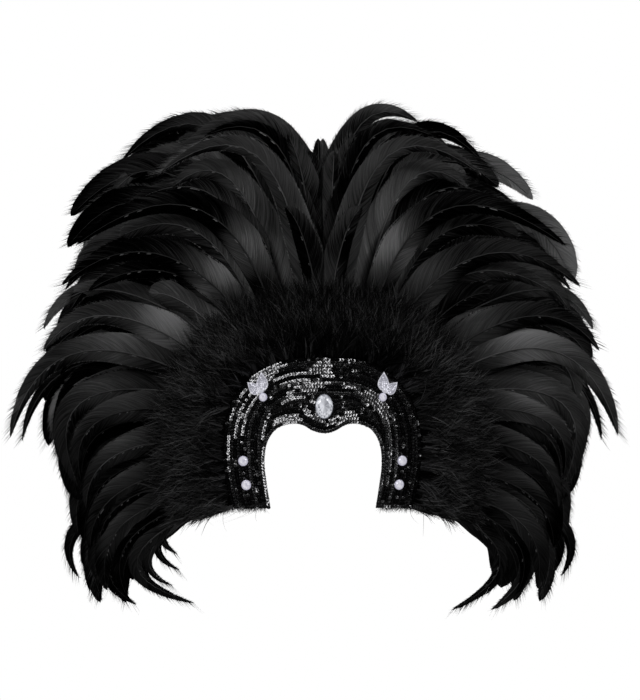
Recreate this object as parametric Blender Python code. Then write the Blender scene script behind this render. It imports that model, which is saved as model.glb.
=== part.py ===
"""Carnival feather headdress: a sequinned horseshoe band round the face, a collar of fluff and layered rows of
long curved feathers, all on a dished board that a felt half cap holds on the head.

Metres, +Z up, the face towards -Y. The origin is the underside of the cap's crown, where it rests on the head."""

import math

import bmesh
import bpy
import numpy as np
from mathutils import Matrix, Vector

# The fan of feathers: how far its longest feathers reach from the head, and one blade
FAN_RADIUS = 0.400
FEATHER_WIDTH = 0.042
FEATHER_THICKNESS = 0.0020
FEATHER_TILT = 0.11
FEATHER_SECTIONS = 5
STAGGER = 0.0005

# The band: outline, thickness and where its top edge stands above the head
BAND_HALF_WIDTH = 0.127
BAND_HEIGHT = 0.194
BAND_TOP = 0.010
BAND_THICKNESS = 0.003

# The dished surface that the board follows: round the forehead, and back above and below the brow
FOREHEAD_DEPTH = 0.100
BROW_HEIGHT = -0.090
WRAP_DEPTH = 0.080
WRAP_HALF_WIDTH = 0.110
LEAN_ABOVE_BROW = 0.25
LEAN_BELOW_BROW = 0.12
BEND_LENGTH = 0.060

# The board, the root strips on it and the foot of the fluff
BOARD_THICKNESS = 0.003
BOARD_MARGIN = 0.067
BOARD_INSET = 0.0015
STRIP_WIDTH = 0.010
STRIP_SPACING = 0.0125
FIRST_STRIP = 0.055
FIRST_HEIGHT = 0.0062
ROW_STEP = 0.0065
STRIP_COVER = 0.0030
STATIONS = 36

# The fluff: a foot beside the band, a roll that leans outwards over the root strips, and locks on the roll
FLUFF_FOOT_WIDTH = 0.014
FLUFF_WIDTH = 0.080
FLUFF_HEIGHT = 0.024
LOCK_WIDTH = 0.029
LOCK_THICKNESS = 0.009

# The cap: inside half width, half length and height of its ellipsoid, how deep it is, and its wall
CAP_HALF_WIDTH = 0.079
CAP_HALF_LENGTH = 0.101
CAP_RISE = 0.100
CAP_DEPTH = 0.062
CAP_WALL = 0.003

# Stones and jewels. The leaf jewels and the side stones keep their distances from the band's outer edge
CENTRE_STONE_HALF_WIDTH = 0.0104
CENTRE_STONE_HALF_HEIGHT = 0.0150
CENTRE_STONE_DEPTH = 0.0070
CENTRE_STONE_Z = -0.053
SIDE_STONE_RADIUS = 0.0056
SIDE_STONE_DEPTH = 0.0040
LEAF_STONE_RADIUS = 0.0046
LEAF_STONE_DEPTH = 0.0042
LEAF_FROM_EDGE = 0.0525
LEAF_X = BAND_HALF_WIDTH - LEAF_FROM_EDGE
LEAF_Z = -0.0415
PETAL_LENGTH = 0.0270
PETAL_WIDTH = 0.0125
PETAL_THICKNESS = 0.0016
PAVE_STONE_RADIUS = 0.0015
PAVE_FACETS = 7
RIM_WIDTH = 0.0009
KNOT_RADIUS = 0.0045
CENTRE_STONE_SIDES = 14
ROUND_STONE_SIDES = 10

# Each side stone: its distance from the band's widest point and from the ends of its legs
SIDE_STONE_SEATS = (("upper", 0.027, 0.062), ("lower", 0.031, 0.0315))

# Clearances between touching pieces
SEAT_GAP = 0.0006
CAP_GAP = 0.0007
BLADE_GAP = 0.0010

# Half of the band's outline from the middle to a leg's end: shares of BAND_HALF_WIDTH and, downwards from the
# top edge, of BAND_HEIGHT. The inner edge dips into a peak over the forehead
EDGE_COLUMNS = ("along", "inner_across", "inner_drop", "outer_across", "outer_drop")
EDGE_TABLE = (
    (0.00, 0.000, 0.495, 0.000, 0.000),
    (0.10, 0.110, 0.479, 0.157, 0.003),
    (0.20, 0.210, 0.443, 0.315, 0.010),
    (0.28, 0.290, 0.433, 0.457, 0.034),
    (0.36, 0.378, 0.441, 0.598, 0.075),
    (0.44, 0.465, 0.466, 0.732, 0.134),
    (0.52, 0.531, 0.515, 0.850, 0.222),
    (0.60, 0.571, 0.577, 0.937, 0.330),
    (0.68, 0.587, 0.649, 0.984, 0.448),
    (0.76, 0.587, 0.727, 1.000, 0.582),
    (0.84, 0.571, 0.809, 0.992, 0.716),
    (0.92, 0.551, 0.897, 0.961, 0.856),
    (1.00, 0.528, 0.990, 0.909, 1.000),
)

# Feather rows from the back to the front: how much each one leans forward with its distance from the board,
# as a share of that distance. The rear row has no table of its own: it fills between the feathers of the next
ROW_SPREAD = {"rear": -0.20, "back": -0.09, "middle": 0.04, "front": 0.18}
REAR_REACH = 0.95
REAR_WIDTH = 1.28
REAR_BLUNT = 0.5
REAR_SECTIONS = 4

# One row for each feather: its station along the band's edge, then the middle and the tip of its quill as
# shares of FAN_RADIUS across and up from the origin, its width as a share of FEATHER_WIDTH, and how blunt
# its tip is. Feathers for both sides are mirrored
FEATHER_COLUMNS = (
    "row", "side", "station", "crest_across", "crest_up", "tip_across", "tip_up", "width", "blunt",
)
FEATHER_TABLE = (
    ("back", "left", 0.045, 0.150, 0.750, 0.527, 0.618, 1.20, 0.0),
    ("back", "right", 0.04, 0.098, 0.725, 0.330, 0.800, 1.20, 0.0),
    ("back", "left", 0.12, 0.299, 0.740, 0.644, 0.673, 1.10, 0.0),
    ("back", "right", 0.12, 0.276, 0.715, 0.546, 0.666, 1.10, 0.0),
    ("back", "left", 0.22, 0.449, 0.610, 0.810, 0.488, 1.15, 0.5),
    ("back", "right", 0.22, 0.410, 0.615, 0.710, 0.545, 1.12, 0.4),
    ("back", "left", 0.30, 0.520, 0.515, 0.820, 0.385, 1.10, 0.5),
    ("back", "right", 0.30, 0.601, 0.460, 0.830, 0.273, 1.15, 0.8),
    ("back", "both", 0.37, 0.553, 0.374, 0.826, 0.244, 0.90, 0.0),
    ("back", "both", 0.43, 0.683, 0.244, 0.895, 0.117, 0.70, 0.2),
    ("back", "both", 0.50, 0.699, 0.130, 0.878, 0.010, 1.00, 0.6),
    ("back", "left", 0.56, 0.780, 0.000, 0.962, -0.244, 0.60, 0.0),
    ("back", "right", 0.56, 0.750, 0.000, 0.912, -0.244, 0.60, 0.0),
    ("back", "both", 0.60, 0.780, -0.098, 0.780, -0.338, 1.10, 0.3),
    ("back", "both", 0.68, 0.745, -0.211, 0.780, -0.432, 0.90, 0.6),
    ("back", "both", 0.78, 0.722, -0.341, 0.780, -0.552, 0.90, 0.0),
    ("back", "both", 0.88, 0.760, -0.504, 0.780, -0.686, 0.65, 0.0),
    ("back", "both", 0.95, 0.676, -0.552, 0.712, -0.767, 0.90, 0.4),
    ("back", "both", 1.00, 0.601, -0.585, 0.628, -0.765, 0.90, 0.4),
    ("middle", "both", 0.02, 0.026, 0.440, 0.040, 0.690, 1.10, 0.5),
    ("middle", "both", 0.05, 0.050, 0.520, 0.110, 0.745, 1.20, 0.2),
    ("middle", "both", 0.08, 0.117, 0.670, 0.374, 0.745, 0.90, 0.0),
    ("middle", "both", 0.20, 0.267, 0.572, 0.481, 0.575, 1.15, 0.2),
    ("middle", "both", 0.26, 0.330, 0.536, 0.650, 0.500, 0.90, 0.0),
    ("middle", "both", 0.30, 0.380, 0.416, 0.647, 0.416, 0.85, 1.0),
    ("middle", "both", 0.36, 0.471, 0.293, 0.748, 0.240, 0.90, 0.2),
    ("middle", "both", 0.42, 0.429, 0.192, 0.556, 0.231, 0.85, 1.0),
    ("middle", "both", 0.47, 0.585, 0.146, 0.812, 0.070, 0.90, 0.0),
    ("middle", "both", 0.56, 0.666, 0.030, 0.838, -0.030, 0.80, 0.0),
    ("middle", "both", 0.60, 0.764, -0.114, 0.780, -0.384, 1.00, 0.2),
    ("middle", "both", 0.69, 0.692, -0.205, 0.767, -0.400, 0.90, 0.2),
    ("middle", "both", 0.80, 0.676, -0.358, 0.761, -0.569, 0.90, 0.1),
    ("middle", "both", 0.88, 0.657, -0.471, 0.722, -0.683, 0.90, 0.2),
    ("middle", "left", 0.97, 0.666, -0.608, 0.595, -0.767, 0.90, 0.0),
    ("middle", "right", 0.97, 0.650, -0.600, 0.543, -0.790, 0.90, 0.0),
    ("middle", "both", 1.00, 0.540, -0.610, 0.510, -0.725, 0.70, 0.0),
    ("front", "both", 0.10, 0.185, 0.647, 0.520, 0.618, 1.00, 0.0),
    ("front", "both", 0.24, 0.380, 0.494, 0.790, 0.384, 1.05, 0.0),
    ("front", "both", 0.31, 0.504, 0.351, 0.835, 0.254, 1.05, 0.0),
    ("front", "both", 0.50, 0.657, 0.156, 0.890, 0.046, 1.05, 0.0),
    ("front", "left", 0.56, 0.774, 0.042, 0.993, -0.228, 0.95, 0.0),
    ("front", "right", 0.56, 0.731, 0.049, 0.946, -0.224, 1.05, 0.0),
    ("front", "both", 0.64, 0.705, -0.172, 0.767, -0.374, 0.90, 0.0),
    ("front", "both", 0.74, 0.660, -0.286, 0.754, -0.455, 0.90, 0.0),
    ("front", "both", 0.84, 0.650, -0.406, 0.741, -0.585, 0.90, 0.1),
    ("front", "both", 0.93, 0.634, -0.504, 0.689, -0.715, 0.90, 0.3),
    ("front", "left", 1.00, 0.592, -0.640, 0.411, -0.764, 0.75, 0.0),
    ("front", "right", 1.00, 0.569, -0.634, 0.413, -0.790, 0.75, 0.0),
)

# The roll's section past the foot, from its underside round to the band: shares of FLUFF_WIDTH and FLUFF_HEIGHT
ROLL_COLUMNS = ("out", "up")
ROLL_TABLE = (
    (0.78, 0.10),
    (0.86, 0.34),
    (0.70, 0.74),
    (0.42, 0.94),
    (0.16, 0.72),
)

# Rings of locks on the roll: how many, where they start and end as shares of FLUFF_WIDTH, and how high their
# two ends lie as shares of FLUFF_HEIGHT
LOCK_COLUMNS = ("count", "start", "end", "start_up", "end_up")
LOCK_TABLE = (
    (28, 0.50, 1.00, 0.20, 0.22),
    (22, 0.22, 0.84, 0.62, 0.98),
)

# The jewel's two petals: lean outwards from upright in degrees, length and width as shares of the petal sizes,
# and how many rows of small stones each carries
PETAL_COLUMNS = ("lean", "length", "width", "stone_rows")
PETAL_TABLE = (
    (8.0, 1.00, 1.00, 4),
    (50.0, 0.88, 0.88, 3),
)


def clear_scene():
    for obj in list(bpy.data.objects):
        bpy.data.objects.remove(obj, do_unlink=True)


def material(name, colour, roughness, metallic=0.0):
    made = bpy.data.materials.new(name)
    made.use_nodes = True
    shader = made.node_tree.nodes["Principled BSDF"]
    shader.inputs["Base Color"].default_value = (*colour, 1.0)
    shader.inputs["Roughness"].default_value = roughness
    shader.inputs["Metallic"].default_value = metallic
    made.diffuse_color = (*colour, 1.0)
    return made


def solid(name, points, faces, finish=None):
    """A mesh object from points and faces, with its faces turned outwards."""
    mesh = bpy.data.meshes.new(name)
    mesh.from_pydata([tuple(point) for point in points], [], faces)
    work = bmesh.new()
    work.from_mesh(mesh)
    bmesh.ops.recalc_face_normals(work, faces=work.faces[:])
    work.to_mesh(mesh)
    work.free()
    obj = bpy.data.objects.new(name, mesh)
    bpy.context.scene.collection.objects.link(obj)
    if finish:
        mesh.materials.append(finish)
    return obj


def fuse(obj, pieces):
    """Adds closed pieces, which may cross one another, to obj as one body, and fills the small pockets that
    crossing blades or locks close off between them."""
    others = bpy.data.collections.new(f"{obj.name}_pieces")
    for points, faces in pieces:
        piece = solid(f"{obj.name}_piece", points, faces)
        bpy.context.scene.collection.objects.unlink(piece)
        others.objects.link(piece)
    union = obj.modifiers.new("fuse", "BOOLEAN")
    union.operation = "UNION"
    union.solver = "MANIFOLD"
    union.operand_type = "COLLECTION"
    union.collection = others
    graph = bpy.context.evaluated_depsgraph_get()
    whole = bpy.data.meshes.new_from_object(obj.evaluated_get(graph))
    obj.modifiers.clear()
    obj.data = whole
    for piece in list(others.objects):
        bpy.data.objects.remove(piece, do_unlink=True)
    bpy.data.collections.remove(others)
    work = bmesh.new()
    work.from_mesh(whole)
    bmesh.ops.triangulate(work, faces=work.faces[:])
    for shell in shells(work):
        volume = sum(face.verts[0].co.dot(face.verts[1].co.cross(face.verts[2].co)) for face in shell)
        if volume < 0:
            bmesh.ops.delete(work, geom=shell, context="FACES")
    work.to_mesh(whole)
    work.free()


def shells(work):
    """The faces of each connected shell."""
    left = set(work.faces)
    found = []
    while left:
        start = left.pop()
        shell = [start]
        todo = [start]
        while todo:
            for edge in todo.pop().edges:
                for face in edge.link_faces:
                    if face in left:
                        left.remove(face)
                        shell.append(face)
                        todo.append(face)
        found.append(shell)
    return found


def tube_faces(rings, corners):
    """Faces of a closed tube of rings, with flat ends."""
    faces = [tuple(range(corners)), tuple(range((rings - 1) * corners, rings * corners))]
    for ring in range(rings - 1):
        for corner in range(corners):
            after = (corner + 1) % corners
            low = ring * corners
            faces.append((low + corner, low + after, low + corners + after, low + corners + corner))
    return faces


def spike_faces(rings, corners):
    """Faces of a closed tube of rings that ends in one point, the last."""
    faces = tube_faces(rings, corners)
    faces.pop(1)
    low = (rings - 1) * corners
    return faces + [(low + corner, low + (corner + 1) % corners, low + corners) for corner in range(corners)]


def smooth_value(column, station):
    """A column of the edge table at a station, on one smooth curve that is mirrored about the middle."""
    along = [row[0] for row in EDGE_TABLE]
    values = [row[EDGE_COLUMNS.index(column)] for row in EDGE_TABLE]
    odd = column.endswith("across")
    reach = min(abs(station), 1.0)
    at = max(i for i in range(len(along) - 1) if along[i] <= reach)
    span = along[at + 1] - along[at]
    share = (reach - along[at]) / span

    def slope(i):
        if i == 0:
            return values[1] / along[1] if odd else 0.0
        after = min(i + 1, len(along) - 1)
        return (values[after] - values[i - 1]) / (along[after] - along[i - 1])

    square = share * share
    cube = square * share
    value = (
        (2 * cube - 3 * square + 1) * values[at]
        + (cube - 2 * square + share) * span * slope(at)
        + (3 * square - 2 * cube) * values[at + 1]
        + (cube - square) * span * slope(at + 1)
    )
    return -value if odd and station < 0 else value


def edge_point(edge, station):
    across = smooth_value(edge + "_across", station) * BAND_HALF_WIDTH
    return Vector((across, BAND_TOP - smooth_value(edge + "_drop", station) * BAND_HEIGHT))


def outward(station):
    """The direction square to the band's outer edge, pointing away from the face."""
    step = 0.01
    low = min(max(station, -1.0 + step), 1.0 - step)
    run = edge_point("outer", low + step) - edge_point("outer", low - step)
    return Vector((-run.y, run.x)).normalized()


def flat_point(station, across, beyond):
    """Across is 0 at the band's inner edge and 1 at its outer one; beyond is a distance past the outer edge."""
    inner = edge_point("inner", station)
    outer = edge_point("outer", station)
    return inner.lerp(outer, across) + outward(station) * beyond


def dish(x, z):
    """How far back the board's front face lies over x and z."""
    wrap = WRAP_DEPTH * x * x / (x * x + WRAP_HALF_WIDTH**2)
    rise = z - BROW_HEIGHT
    mean = 0.5 * (LEAN_ABOVE_BROW + LEAN_BELOW_BROW)
    tilt = 0.5 * (LEAN_ABOVE_BROW - LEAN_BELOW_BROW)
    return wrap + mean * (math.hypot(rise, BEND_LENGTH) - BEND_LENGTH) + tilt * rise - FOREHEAD_DEPTH


def raised(flat, height):
    """The point in front of the board by height, over a point of the front view."""
    return Vector((flat.x, dish(flat.x, flat.y) - height, flat.y))


def stations(first=-1.0, last=1.0):
    count = max(2, round(STATIONS * (last - first) / 2))
    return np.linspace(first, last, count + 1)


def horseshoe(name, section, finish, first=-1.0, last=1.0, spread=0.0):
    """Sweeps a section along the band's edge. A section point is (across, beyond, height), and spread raises it
    further with its distance past the board."""
    at = stations(first, last)
    points = []
    for station in at:
        for across, beyond, height in section:
            flat = flat_point(station, across, beyond)
            points.append(raised(flat, height + spread * past_board(flat.x, flat.y)))
    return solid(name, points, tube_faces(len(at), len(section)), finish)


def sequin_band(finish):
    low = SEAT_GAP
    high = SEAT_GAP + BAND_THICKNESS
    shares = (0.0, 0.5, 1.0)
    section = [(share, 0.0, high) for share in shares] + [(share, 0.0, low) for share in reversed(shares)]
    return horseshoe("sequin_band", section, finish)


def backing_board(finish):
    low = -BOARD_THICKNESS
    line = [(0.0, BOARD_INSET), (0.5, BOARD_INSET), (1.0, 0.0)]
    line += [(1.0, 0.5 * BOARD_MARGIN), (1.0, BOARD_MARGIN)]
    section = [(across, beyond, 0.0) for across, beyond in line]
    section += [(across, beyond, low) for across, beyond in reversed(line)]
    return horseshoe("backing_board", section, finish)


def head_cap(finish):
    """A half ellipsoid shell whose front is pressed flat against the back of the board."""
    turns = 24
    rings = 4
    lowest = math.acos(1.0 - CAP_DEPTH / CAP_RISE)
    points = []
    for wall in (0.0, CAP_WALL):
        back = BOARD_THICKNESS + CAP_GAP + CAP_WALL - wall
        points.append((0.0, 0.0, wall))
        for ring in range(1, rings + 1):
            fall = lowest * ring / rings
            for turn in range(turns):
                angle = 2 * math.pi * turn / turns
                x = (CAP_HALF_WIDTH + wall) * math.sin(fall) * math.cos(angle)
                y = (CAP_HALF_LENGTH + wall) * math.sin(fall) * math.sin(angle)
                z = (CAP_RISE + wall) * math.cos(fall) - CAP_RISE
                points.append((x, max(y, dish(x, z) + back), z))
    shell = 1 + rings * turns
    faces = []
    for start in (0, shell):
        for turn in range(turns):
            after = (turn + 1) % turns
            faces.append((start, start + 1 + turn, start + 1 + after))
            for ring in range(rings - 1):
                low = start + 1 + ring * turns
                faces.append((low + turn, low + turns + turn, low + turns + after, low + after))
    rim = 1 + (rings - 1) * turns
    for turn in range(turns):
        after = (turn + 1) % turns
        faces.append((rim + turn, rim + after, shell + rim + after, shell + rim + turn))
    return solid("head_cap", points, faces, finish)


def row_height(row):
    return FIRST_HEIGHT + ROW_STEP * list(ROW_SPREAD).index(row)


def past_board(x, z):
    """About how far a point of the front view lies past the board's edge."""
    centre = BROW_HEIGHT - 0.10 * BAND_HEIGHT
    reach = BAND_HALF_WIDTH + BOARD_MARGIN
    beyond = math.hypot(x / 1.08, z - centre) - 0.95 * reach
    return 0.5 * (beyond + math.hypot(beyond, 0.1 * reach))


def feather_height(row, flat):
    return row_height(row) + ROW_SPREAD[row] * past_board(flat.x, flat.y)


def vane_width(share, blunt):
    """A feather's half width along its quill, as a share of its widest: narrow foot, full middle, drawn-out tip."""
    foot = 0.45 + 0.55 * min(share / 0.35, 1.0)
    pointed = min(1.0, 1.25 * (1.0 - share) ** 0.75)
    rounded = math.sqrt(max(0.0, 1.0 - max(0.0, (share - 0.72) / 0.28) ** 2))
    return foot * (pointed * (1.0 - blunt) + rounded * blunt)


def row_start(row):
    """How far past the band's edge a row's root strip starts."""
    return FIRST_STRIP - STRIP_SPACING * list(ROW_SPREAD).index(row)


def row_specs(row, side):
    """The feathers of one row and side, in order from the crown to the leg's end."""
    table = [dict(zip(FEATHER_COLUMNS, line)) for line in FEATHER_TABLE]
    source = "back" if row == "rear" else row
    specs = [spec for spec in table if spec["row"] == source and spec["side"] in (side, "both")]
    if row != "rear":
        return specs
    fill = []
    for one, other in zip(specs, specs[1:]):
        mean = {column: 0.5 * (one[column] + other[column]) for column in FEATHER_COLUMNS[2:]}
        for column in ("crest_across", "crest_up", "tip_across", "tip_up"):
            mean[column] *= REAR_REACH
        fill.append(mean | {"row": row, "width": REAR_WIDTH, "blunt": REAR_BLUNT})
    return fill


def feather(spec, mirror, order):
    """Points and faces of one blade: four-cornered sections along a curved quill that ends in a point. Its edge
    nearer the crown stands forward, so that the blades overlap like tiles."""
    root = flat_point(spec["station"], 1.0, row_start(spec["row"]) + 0.3 * STRIP_WIDTH)
    crest = Vector((spec["crest_across"], spec["crest_up"])) * FAN_RADIUS
    tip = Vector((spec["tip_across"], spec["tip_up"])) * FAN_RADIUS
    control = 2 * crest - (root + tip) / 2
    shift = STAGGER * math.sin(2.2 * order + 0.5)
    middle_gap = SEAT_GAP * (1.0 + order)
    points = []
    sections = REAR_SECTIONS if spec["row"] == "rear" else FEATHER_SECTIONS
    for section in range(sections):
        share = section / sections
        middle = root.lerp(control, share).lerp(control.lerp(tip, share), share)
        run = (control - root).lerp(tip - control, share).normalized()
        side = Vector((-run.y, run.x))
        half = 0.5 * FEATHER_WIDTH * spec["width"] * vane_width(share, spec["blunt"])
        height = feather_height(spec["row"], middle) + shift
        rib = 0.5 * FEATHER_THICKNESS * (1.0 - 0.6 * share)
        lift = FEATHER_TILT * half
        for reach, rise in ((half, lift), (0, rib), (-half, -lift), (0, -rib)):
            flat = middle + side * reach
            flat.x = max(flat.x, middle_gap)
            points.append(raised(flat, height + rise))
    points.append(raised(tip, feather_height(spec["row"], tip) + shift))
    if mirror:
        points = [Vector((-point.x, point.y, point.z)) for point in points]
    return points, spike_faces(sections, 4)


def feather_row(row, side, finish):
    """A root strip on the board with this row's feathers of one side fused to it."""
    specs = row_specs(row, side)
    start = row_start(row)
    top = row_height(row) + STRIP_COVER
    section = [
        (1.0, start, SEAT_GAP),
        (1.0, start + STRIP_WIDTH, SEAT_GAP),
        (1.0, start + STRIP_WIDTH, top),
        (1.0, start, top),
    ]
    inner = max(0.005, specs[0]["station"] - 0.02)
    first, last = (-1.0, -inner) if side == "left" else (inner, 1.0)
    strip = horseshoe(f"{row}_feathers_{side}", section, finish, first, last)
    blades = [feather(spec, side == "left", order) for order, spec in enumerate(specs)]
    fuse(strip, blades)
    return strip


def fluff_base():
    """How high above the board the roll's underside lies: over the blades of the front row."""
    return row_height("front") + 0.5 * FEATHER_TILT * FEATHER_WIDTH + STAGGER + BLADE_GAP


def lock(station, ring, order):
    """One tapered tuft of the fluff, three-cornered, lying outwards over the roll."""
    away = outward(station)
    wander = 0.20 * math.sin(2.4 * order)
    away = Vector((
        away.x * math.cos(wander) - away.y * math.sin(wander),
        away.x * math.sin(wander) + away.y * math.cos(wander),
    ))
    side = Vector((-away.y, away.x))
    start = flat_point(station, 1.0, ring["start"] * FLUFF_WIDTH)
    reach = (ring["end"] - ring["start"]) * FLUFF_WIDTH * (1.0 + 0.12 * math.sin(1.7 * order))
    points = []
    for share, wide in ((0.0, 0.8), (0.45, 1.0), (1.0, 0.0)):
        middle = start + away * reach * share
        rise = ring["start_up"] + (ring["end_up"] - ring["start_up"]) * share
        height = fluff_base() + FLUFF_HEIGHT * rise + 0.5 * LOCK_THICKNESS
        height += ROW_SPREAD["front"] * past_board(middle.x, middle.y)
        if not wide:
            points.append(raised(middle, height))
            break
        half = 0.5 * LOCK_WIDTH * wide
        points.append(raised(middle + side * half, height - 0.5 * LOCK_THICKNESS * wide))
        points.append(raised(middle, height + 0.5 * LOCK_THICKNESS * wide))
        points.append(raised(middle - side * half, height - 0.5 * LOCK_THICKNESS * wide))
    return points, spike_faces(2, 3)


def fluff_collar(finish):
    base = fluff_base()
    section = [(1.0, SEAT_GAP, SEAT_GAP), (1.0, FLUFF_FOOT_WIDTH, SEAT_GAP), (1.0, FLUFF_FOOT_WIDTH, base)]
    for line in ROLL_TABLE:
        corner = dict(zip(ROLL_COLUMNS, line))
        section.append((1.0, corner["out"] * FLUFF_WIDTH, base + corner["up"] * FLUFF_HEIGHT))
    section.append((1.0, SEAT_GAP, base * 0.9))
    roll = horseshoe("fluff_collar", section, finish, spread=ROW_SPREAD["front"])
    locks = []
    for line in LOCK_TABLE:
        ring = dict(zip(LOCK_COLUMNS, line))
        for order in range(ring["count"]):
            locks.append(lock(-1.0 + 2.0 * (order + 0.5) / ring["count"], ring, order))
    fuse(roll, locks)
    return roll


def seat(x, z):
    """A frame on the band's front face at x, z: its third axis points out of the face."""
    step = 0.001
    height = SEAT_GAP + BAND_THICKNESS + SEAT_GAP
    slope_x = (dish(x + step, z) - dish(x - step, z)) / (2 * step)
    slope_z = (dish(x, z + step) - dish(x, z - step)) / (2 * step)
    out = Vector((slope_x, -1.0, slope_z)).normalized()
    right = Vector((1.0, slope_x, 0.0)).normalized()
    up = out.cross(right).normalized()
    frame = Matrix((right, up, out)).transposed().to_4x4()
    frame.translation = Vector((x, dish(x, z), z)) + out * height
    return frame


def cut_stone(half_width, half_height, depth, sides, rim=RIM_WIDTH):
    """Points and faces of a faceted stone in a plain rim: rim, girdle, sloping crown and flat table."""
    rings = (
        (rim, 0.0),
        (rim, 0.25 * depth),
        (0.0, 0.40 * depth),
        (-0.20, 0.80 * depth),
        (-0.42, depth),
    )
    points = []
    for grow, height in rings:
        for side in range(sides):
            angle = 2 * math.pi * (side + 0.5) / sides
            wide = half_width + grow if grow > 0 else half_width * (1.0 + grow)
            tall = half_height + grow if grow > 0 else half_height * (1.0 + grow)
            points.append(Vector((wide * math.cos(angle), tall * math.sin(angle), height)))
    return points, tube_faces(len(rings), sides)


def stone(name, x, z, half_width, half_height, depth, sides, finish):
    points, faces = cut_stone(half_width, half_height, depth, sides)
    frame = seat(x, z)
    return solid(name, [frame @ point for point in points], faces, finish)


def small_stone():
    """A low stone with a flat table and one ring of facets."""
    points = []
    for shrink, height in ((1.0, 0.0), (0.55, 0.9 * PAVE_STONE_RADIUS)):
        for side in range(PAVE_FACETS):
            angle = 2 * math.pi * side / PAVE_FACETS
            reach = PAVE_STONE_RADIUS * shrink
            points.append(Vector((reach * math.cos(angle), reach * math.sin(angle), height)))
    return points


def petal_half_width(share):
    return math.sin(math.pi * min(1.0, share**0.8)) ** 0.85


def petal(lean, length, width, stone_rows, mirror):
    """The plate of one petal and the small stones set on it, as pieces that cross. The stones go in two lines
    where the petal is wide enough and in one where it isn't."""
    turn = Matrix.Rotation(-math.radians(lean) * (-1 if mirror else 1), 4, "Z")
    sides = 7
    outline = []
    for direction in (1, -1):
        for step in range(sides):
            share = (step if direction == 1 else sides - step) / sides
            half = 0.5 * width * petal_half_width(share) * direction
            outline.append(Vector((half, share * length, 0.0)))
    low = [turn @ point for point in outline]
    high = [point + Vector((0.0, 0.0, PETAL_THICKNESS)) for point in low]
    pieces = [(low + high, tube_faces(2, len(outline)))]
    for row in range(stone_rows):
        share = 0.16 + 0.66 * row / (stone_rows - 1)
        half = 0.5 * width * petal_half_width(share) - PAVE_STONE_RADIUS
        places = (-0.5, 0.5) if half > PAVE_STONE_RADIUS else (0.0,)
        for place in places:
            centre = Vector((2 * half * place * 0.72, share * length, 0.75 * PETAL_THICKNESS))
            points = [centre + point for point in small_stone()]
            pieces.append(([turn @ point for point in points], tube_faces(2, PAVE_FACETS)))
    return pieces


def leaf_jewel(side, finish):
    mirror = side == "left"
    direction = -1 if mirror else 1
    frame = seat(direction * LEAF_X, LEAF_Z)
    lift = Vector((0.0, LEAF_STONE_RADIUS + 4 * RIM_WIDTH, 0.0))
    plates = []
    stones = []
    for line in PETAL_TABLE:
        spec = dict(zip(PETAL_COLUMNS, line))
        length = spec["length"] * PETAL_LENGTH
        width = spec["width"] * PETAL_WIDTH
        pieces = petal(spec["lean"], length, width, spec["stone_rows"], mirror)
        offset = Matrix.Rotation(-math.radians(spec["lean"]) * direction, 4, "Z") @ lift
        moved = [([frame @ (offset + point) for point in points], faces) for points, faces in pieces]
        plates.append(moved[0])
        stones += moved[1:]
    corners = 8
    middle = Matrix.Rotation(-math.radians(PETAL_TABLE[1][0] * 0.5) * direction, 4, "Z") @ (lift * 1.25)
    knot = []
    for rise in (0.0, PETAL_THICKNESS):
        for corner in range(corners):
            angle = 2 * math.pi * corner / corners
            round_point = Vector((KNOT_RADIUS * math.cos(angle), KNOT_RADIUS * math.sin(angle), rise))
            knot.append(frame @ (middle + round_point))
    body = solid(f"leaf_jewel_{side}", knot, tube_faces(2, corners), finish)
    fuse(body, plates + stones)
    return body


def main():
    clear_scene()
    felt = material("black_felt", (0.012, 0.012, 0.013), 0.95)
    sequins = material("black_sequins", (0.010, 0.010, 0.011), 0.25)
    fluff = material("black_fluff", (0.014, 0.014, 0.014), 0.90)
    plumes = material("black_feather", (0.012, 0.012, 0.013), 0.45)
    clear = material("clear_stone", (0.86, 0.88, 0.92), 0.08)
    pale = material("pale_stone", (0.80, 0.80, 0.88), 0.12)
    silver = material("silver_pave", (0.78, 0.79, 0.82), 0.25, 1.0)

    sequin_band(sequins)
    backing_board(felt)
    head_cap(felt)
    fluff_collar(fluff)
    for row in ROW_SPREAD:
        for side in ("left", "right"):
            feather_row(row, side, plumes)

    stone(
        "centre_stone", 0.0, CENTRE_STONE_Z,
        CENTRE_STONE_HALF_WIDTH, CENTRE_STONE_HALF_HEIGHT, CENTRE_STONE_DEPTH, CENTRE_STONE_SIDES, clear,
    )
    for side, direction in (("left", -1), ("right", 1)):
        for place, from_edge, above_ends in SIDE_STONE_SEATS:
            x = direction * (BAND_HALF_WIDTH - from_edge)
            z = BAND_TOP - BAND_HEIGHT + above_ends
            stone(
                f"side_stone_{side}_{place}", x, z,
                SIDE_STONE_RADIUS, SIDE_STONE_RADIUS, SIDE_STONE_DEPTH, ROUND_STONE_SIDES, pale,
            )
        stone(
            f"leaf_stone_{side}", direction * LEAF_X, LEAF_Z,
            LEAF_STONE_RADIUS, LEAF_STONE_RADIUS, LEAF_STONE_DEPTH, ROUND_STONE_SIDES, pale,
        )
        leaf_jewel(side, silver)


main()
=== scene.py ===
"""Looks of a black carnival feather headdress: felt board and cap, four rows of long dyed feathers, a fluff
collar, a sequinned band and its stones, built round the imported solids.

Metres, +Z up, the face towards -Y. The origin is the underside of the cap's crown."""

import math

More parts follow.
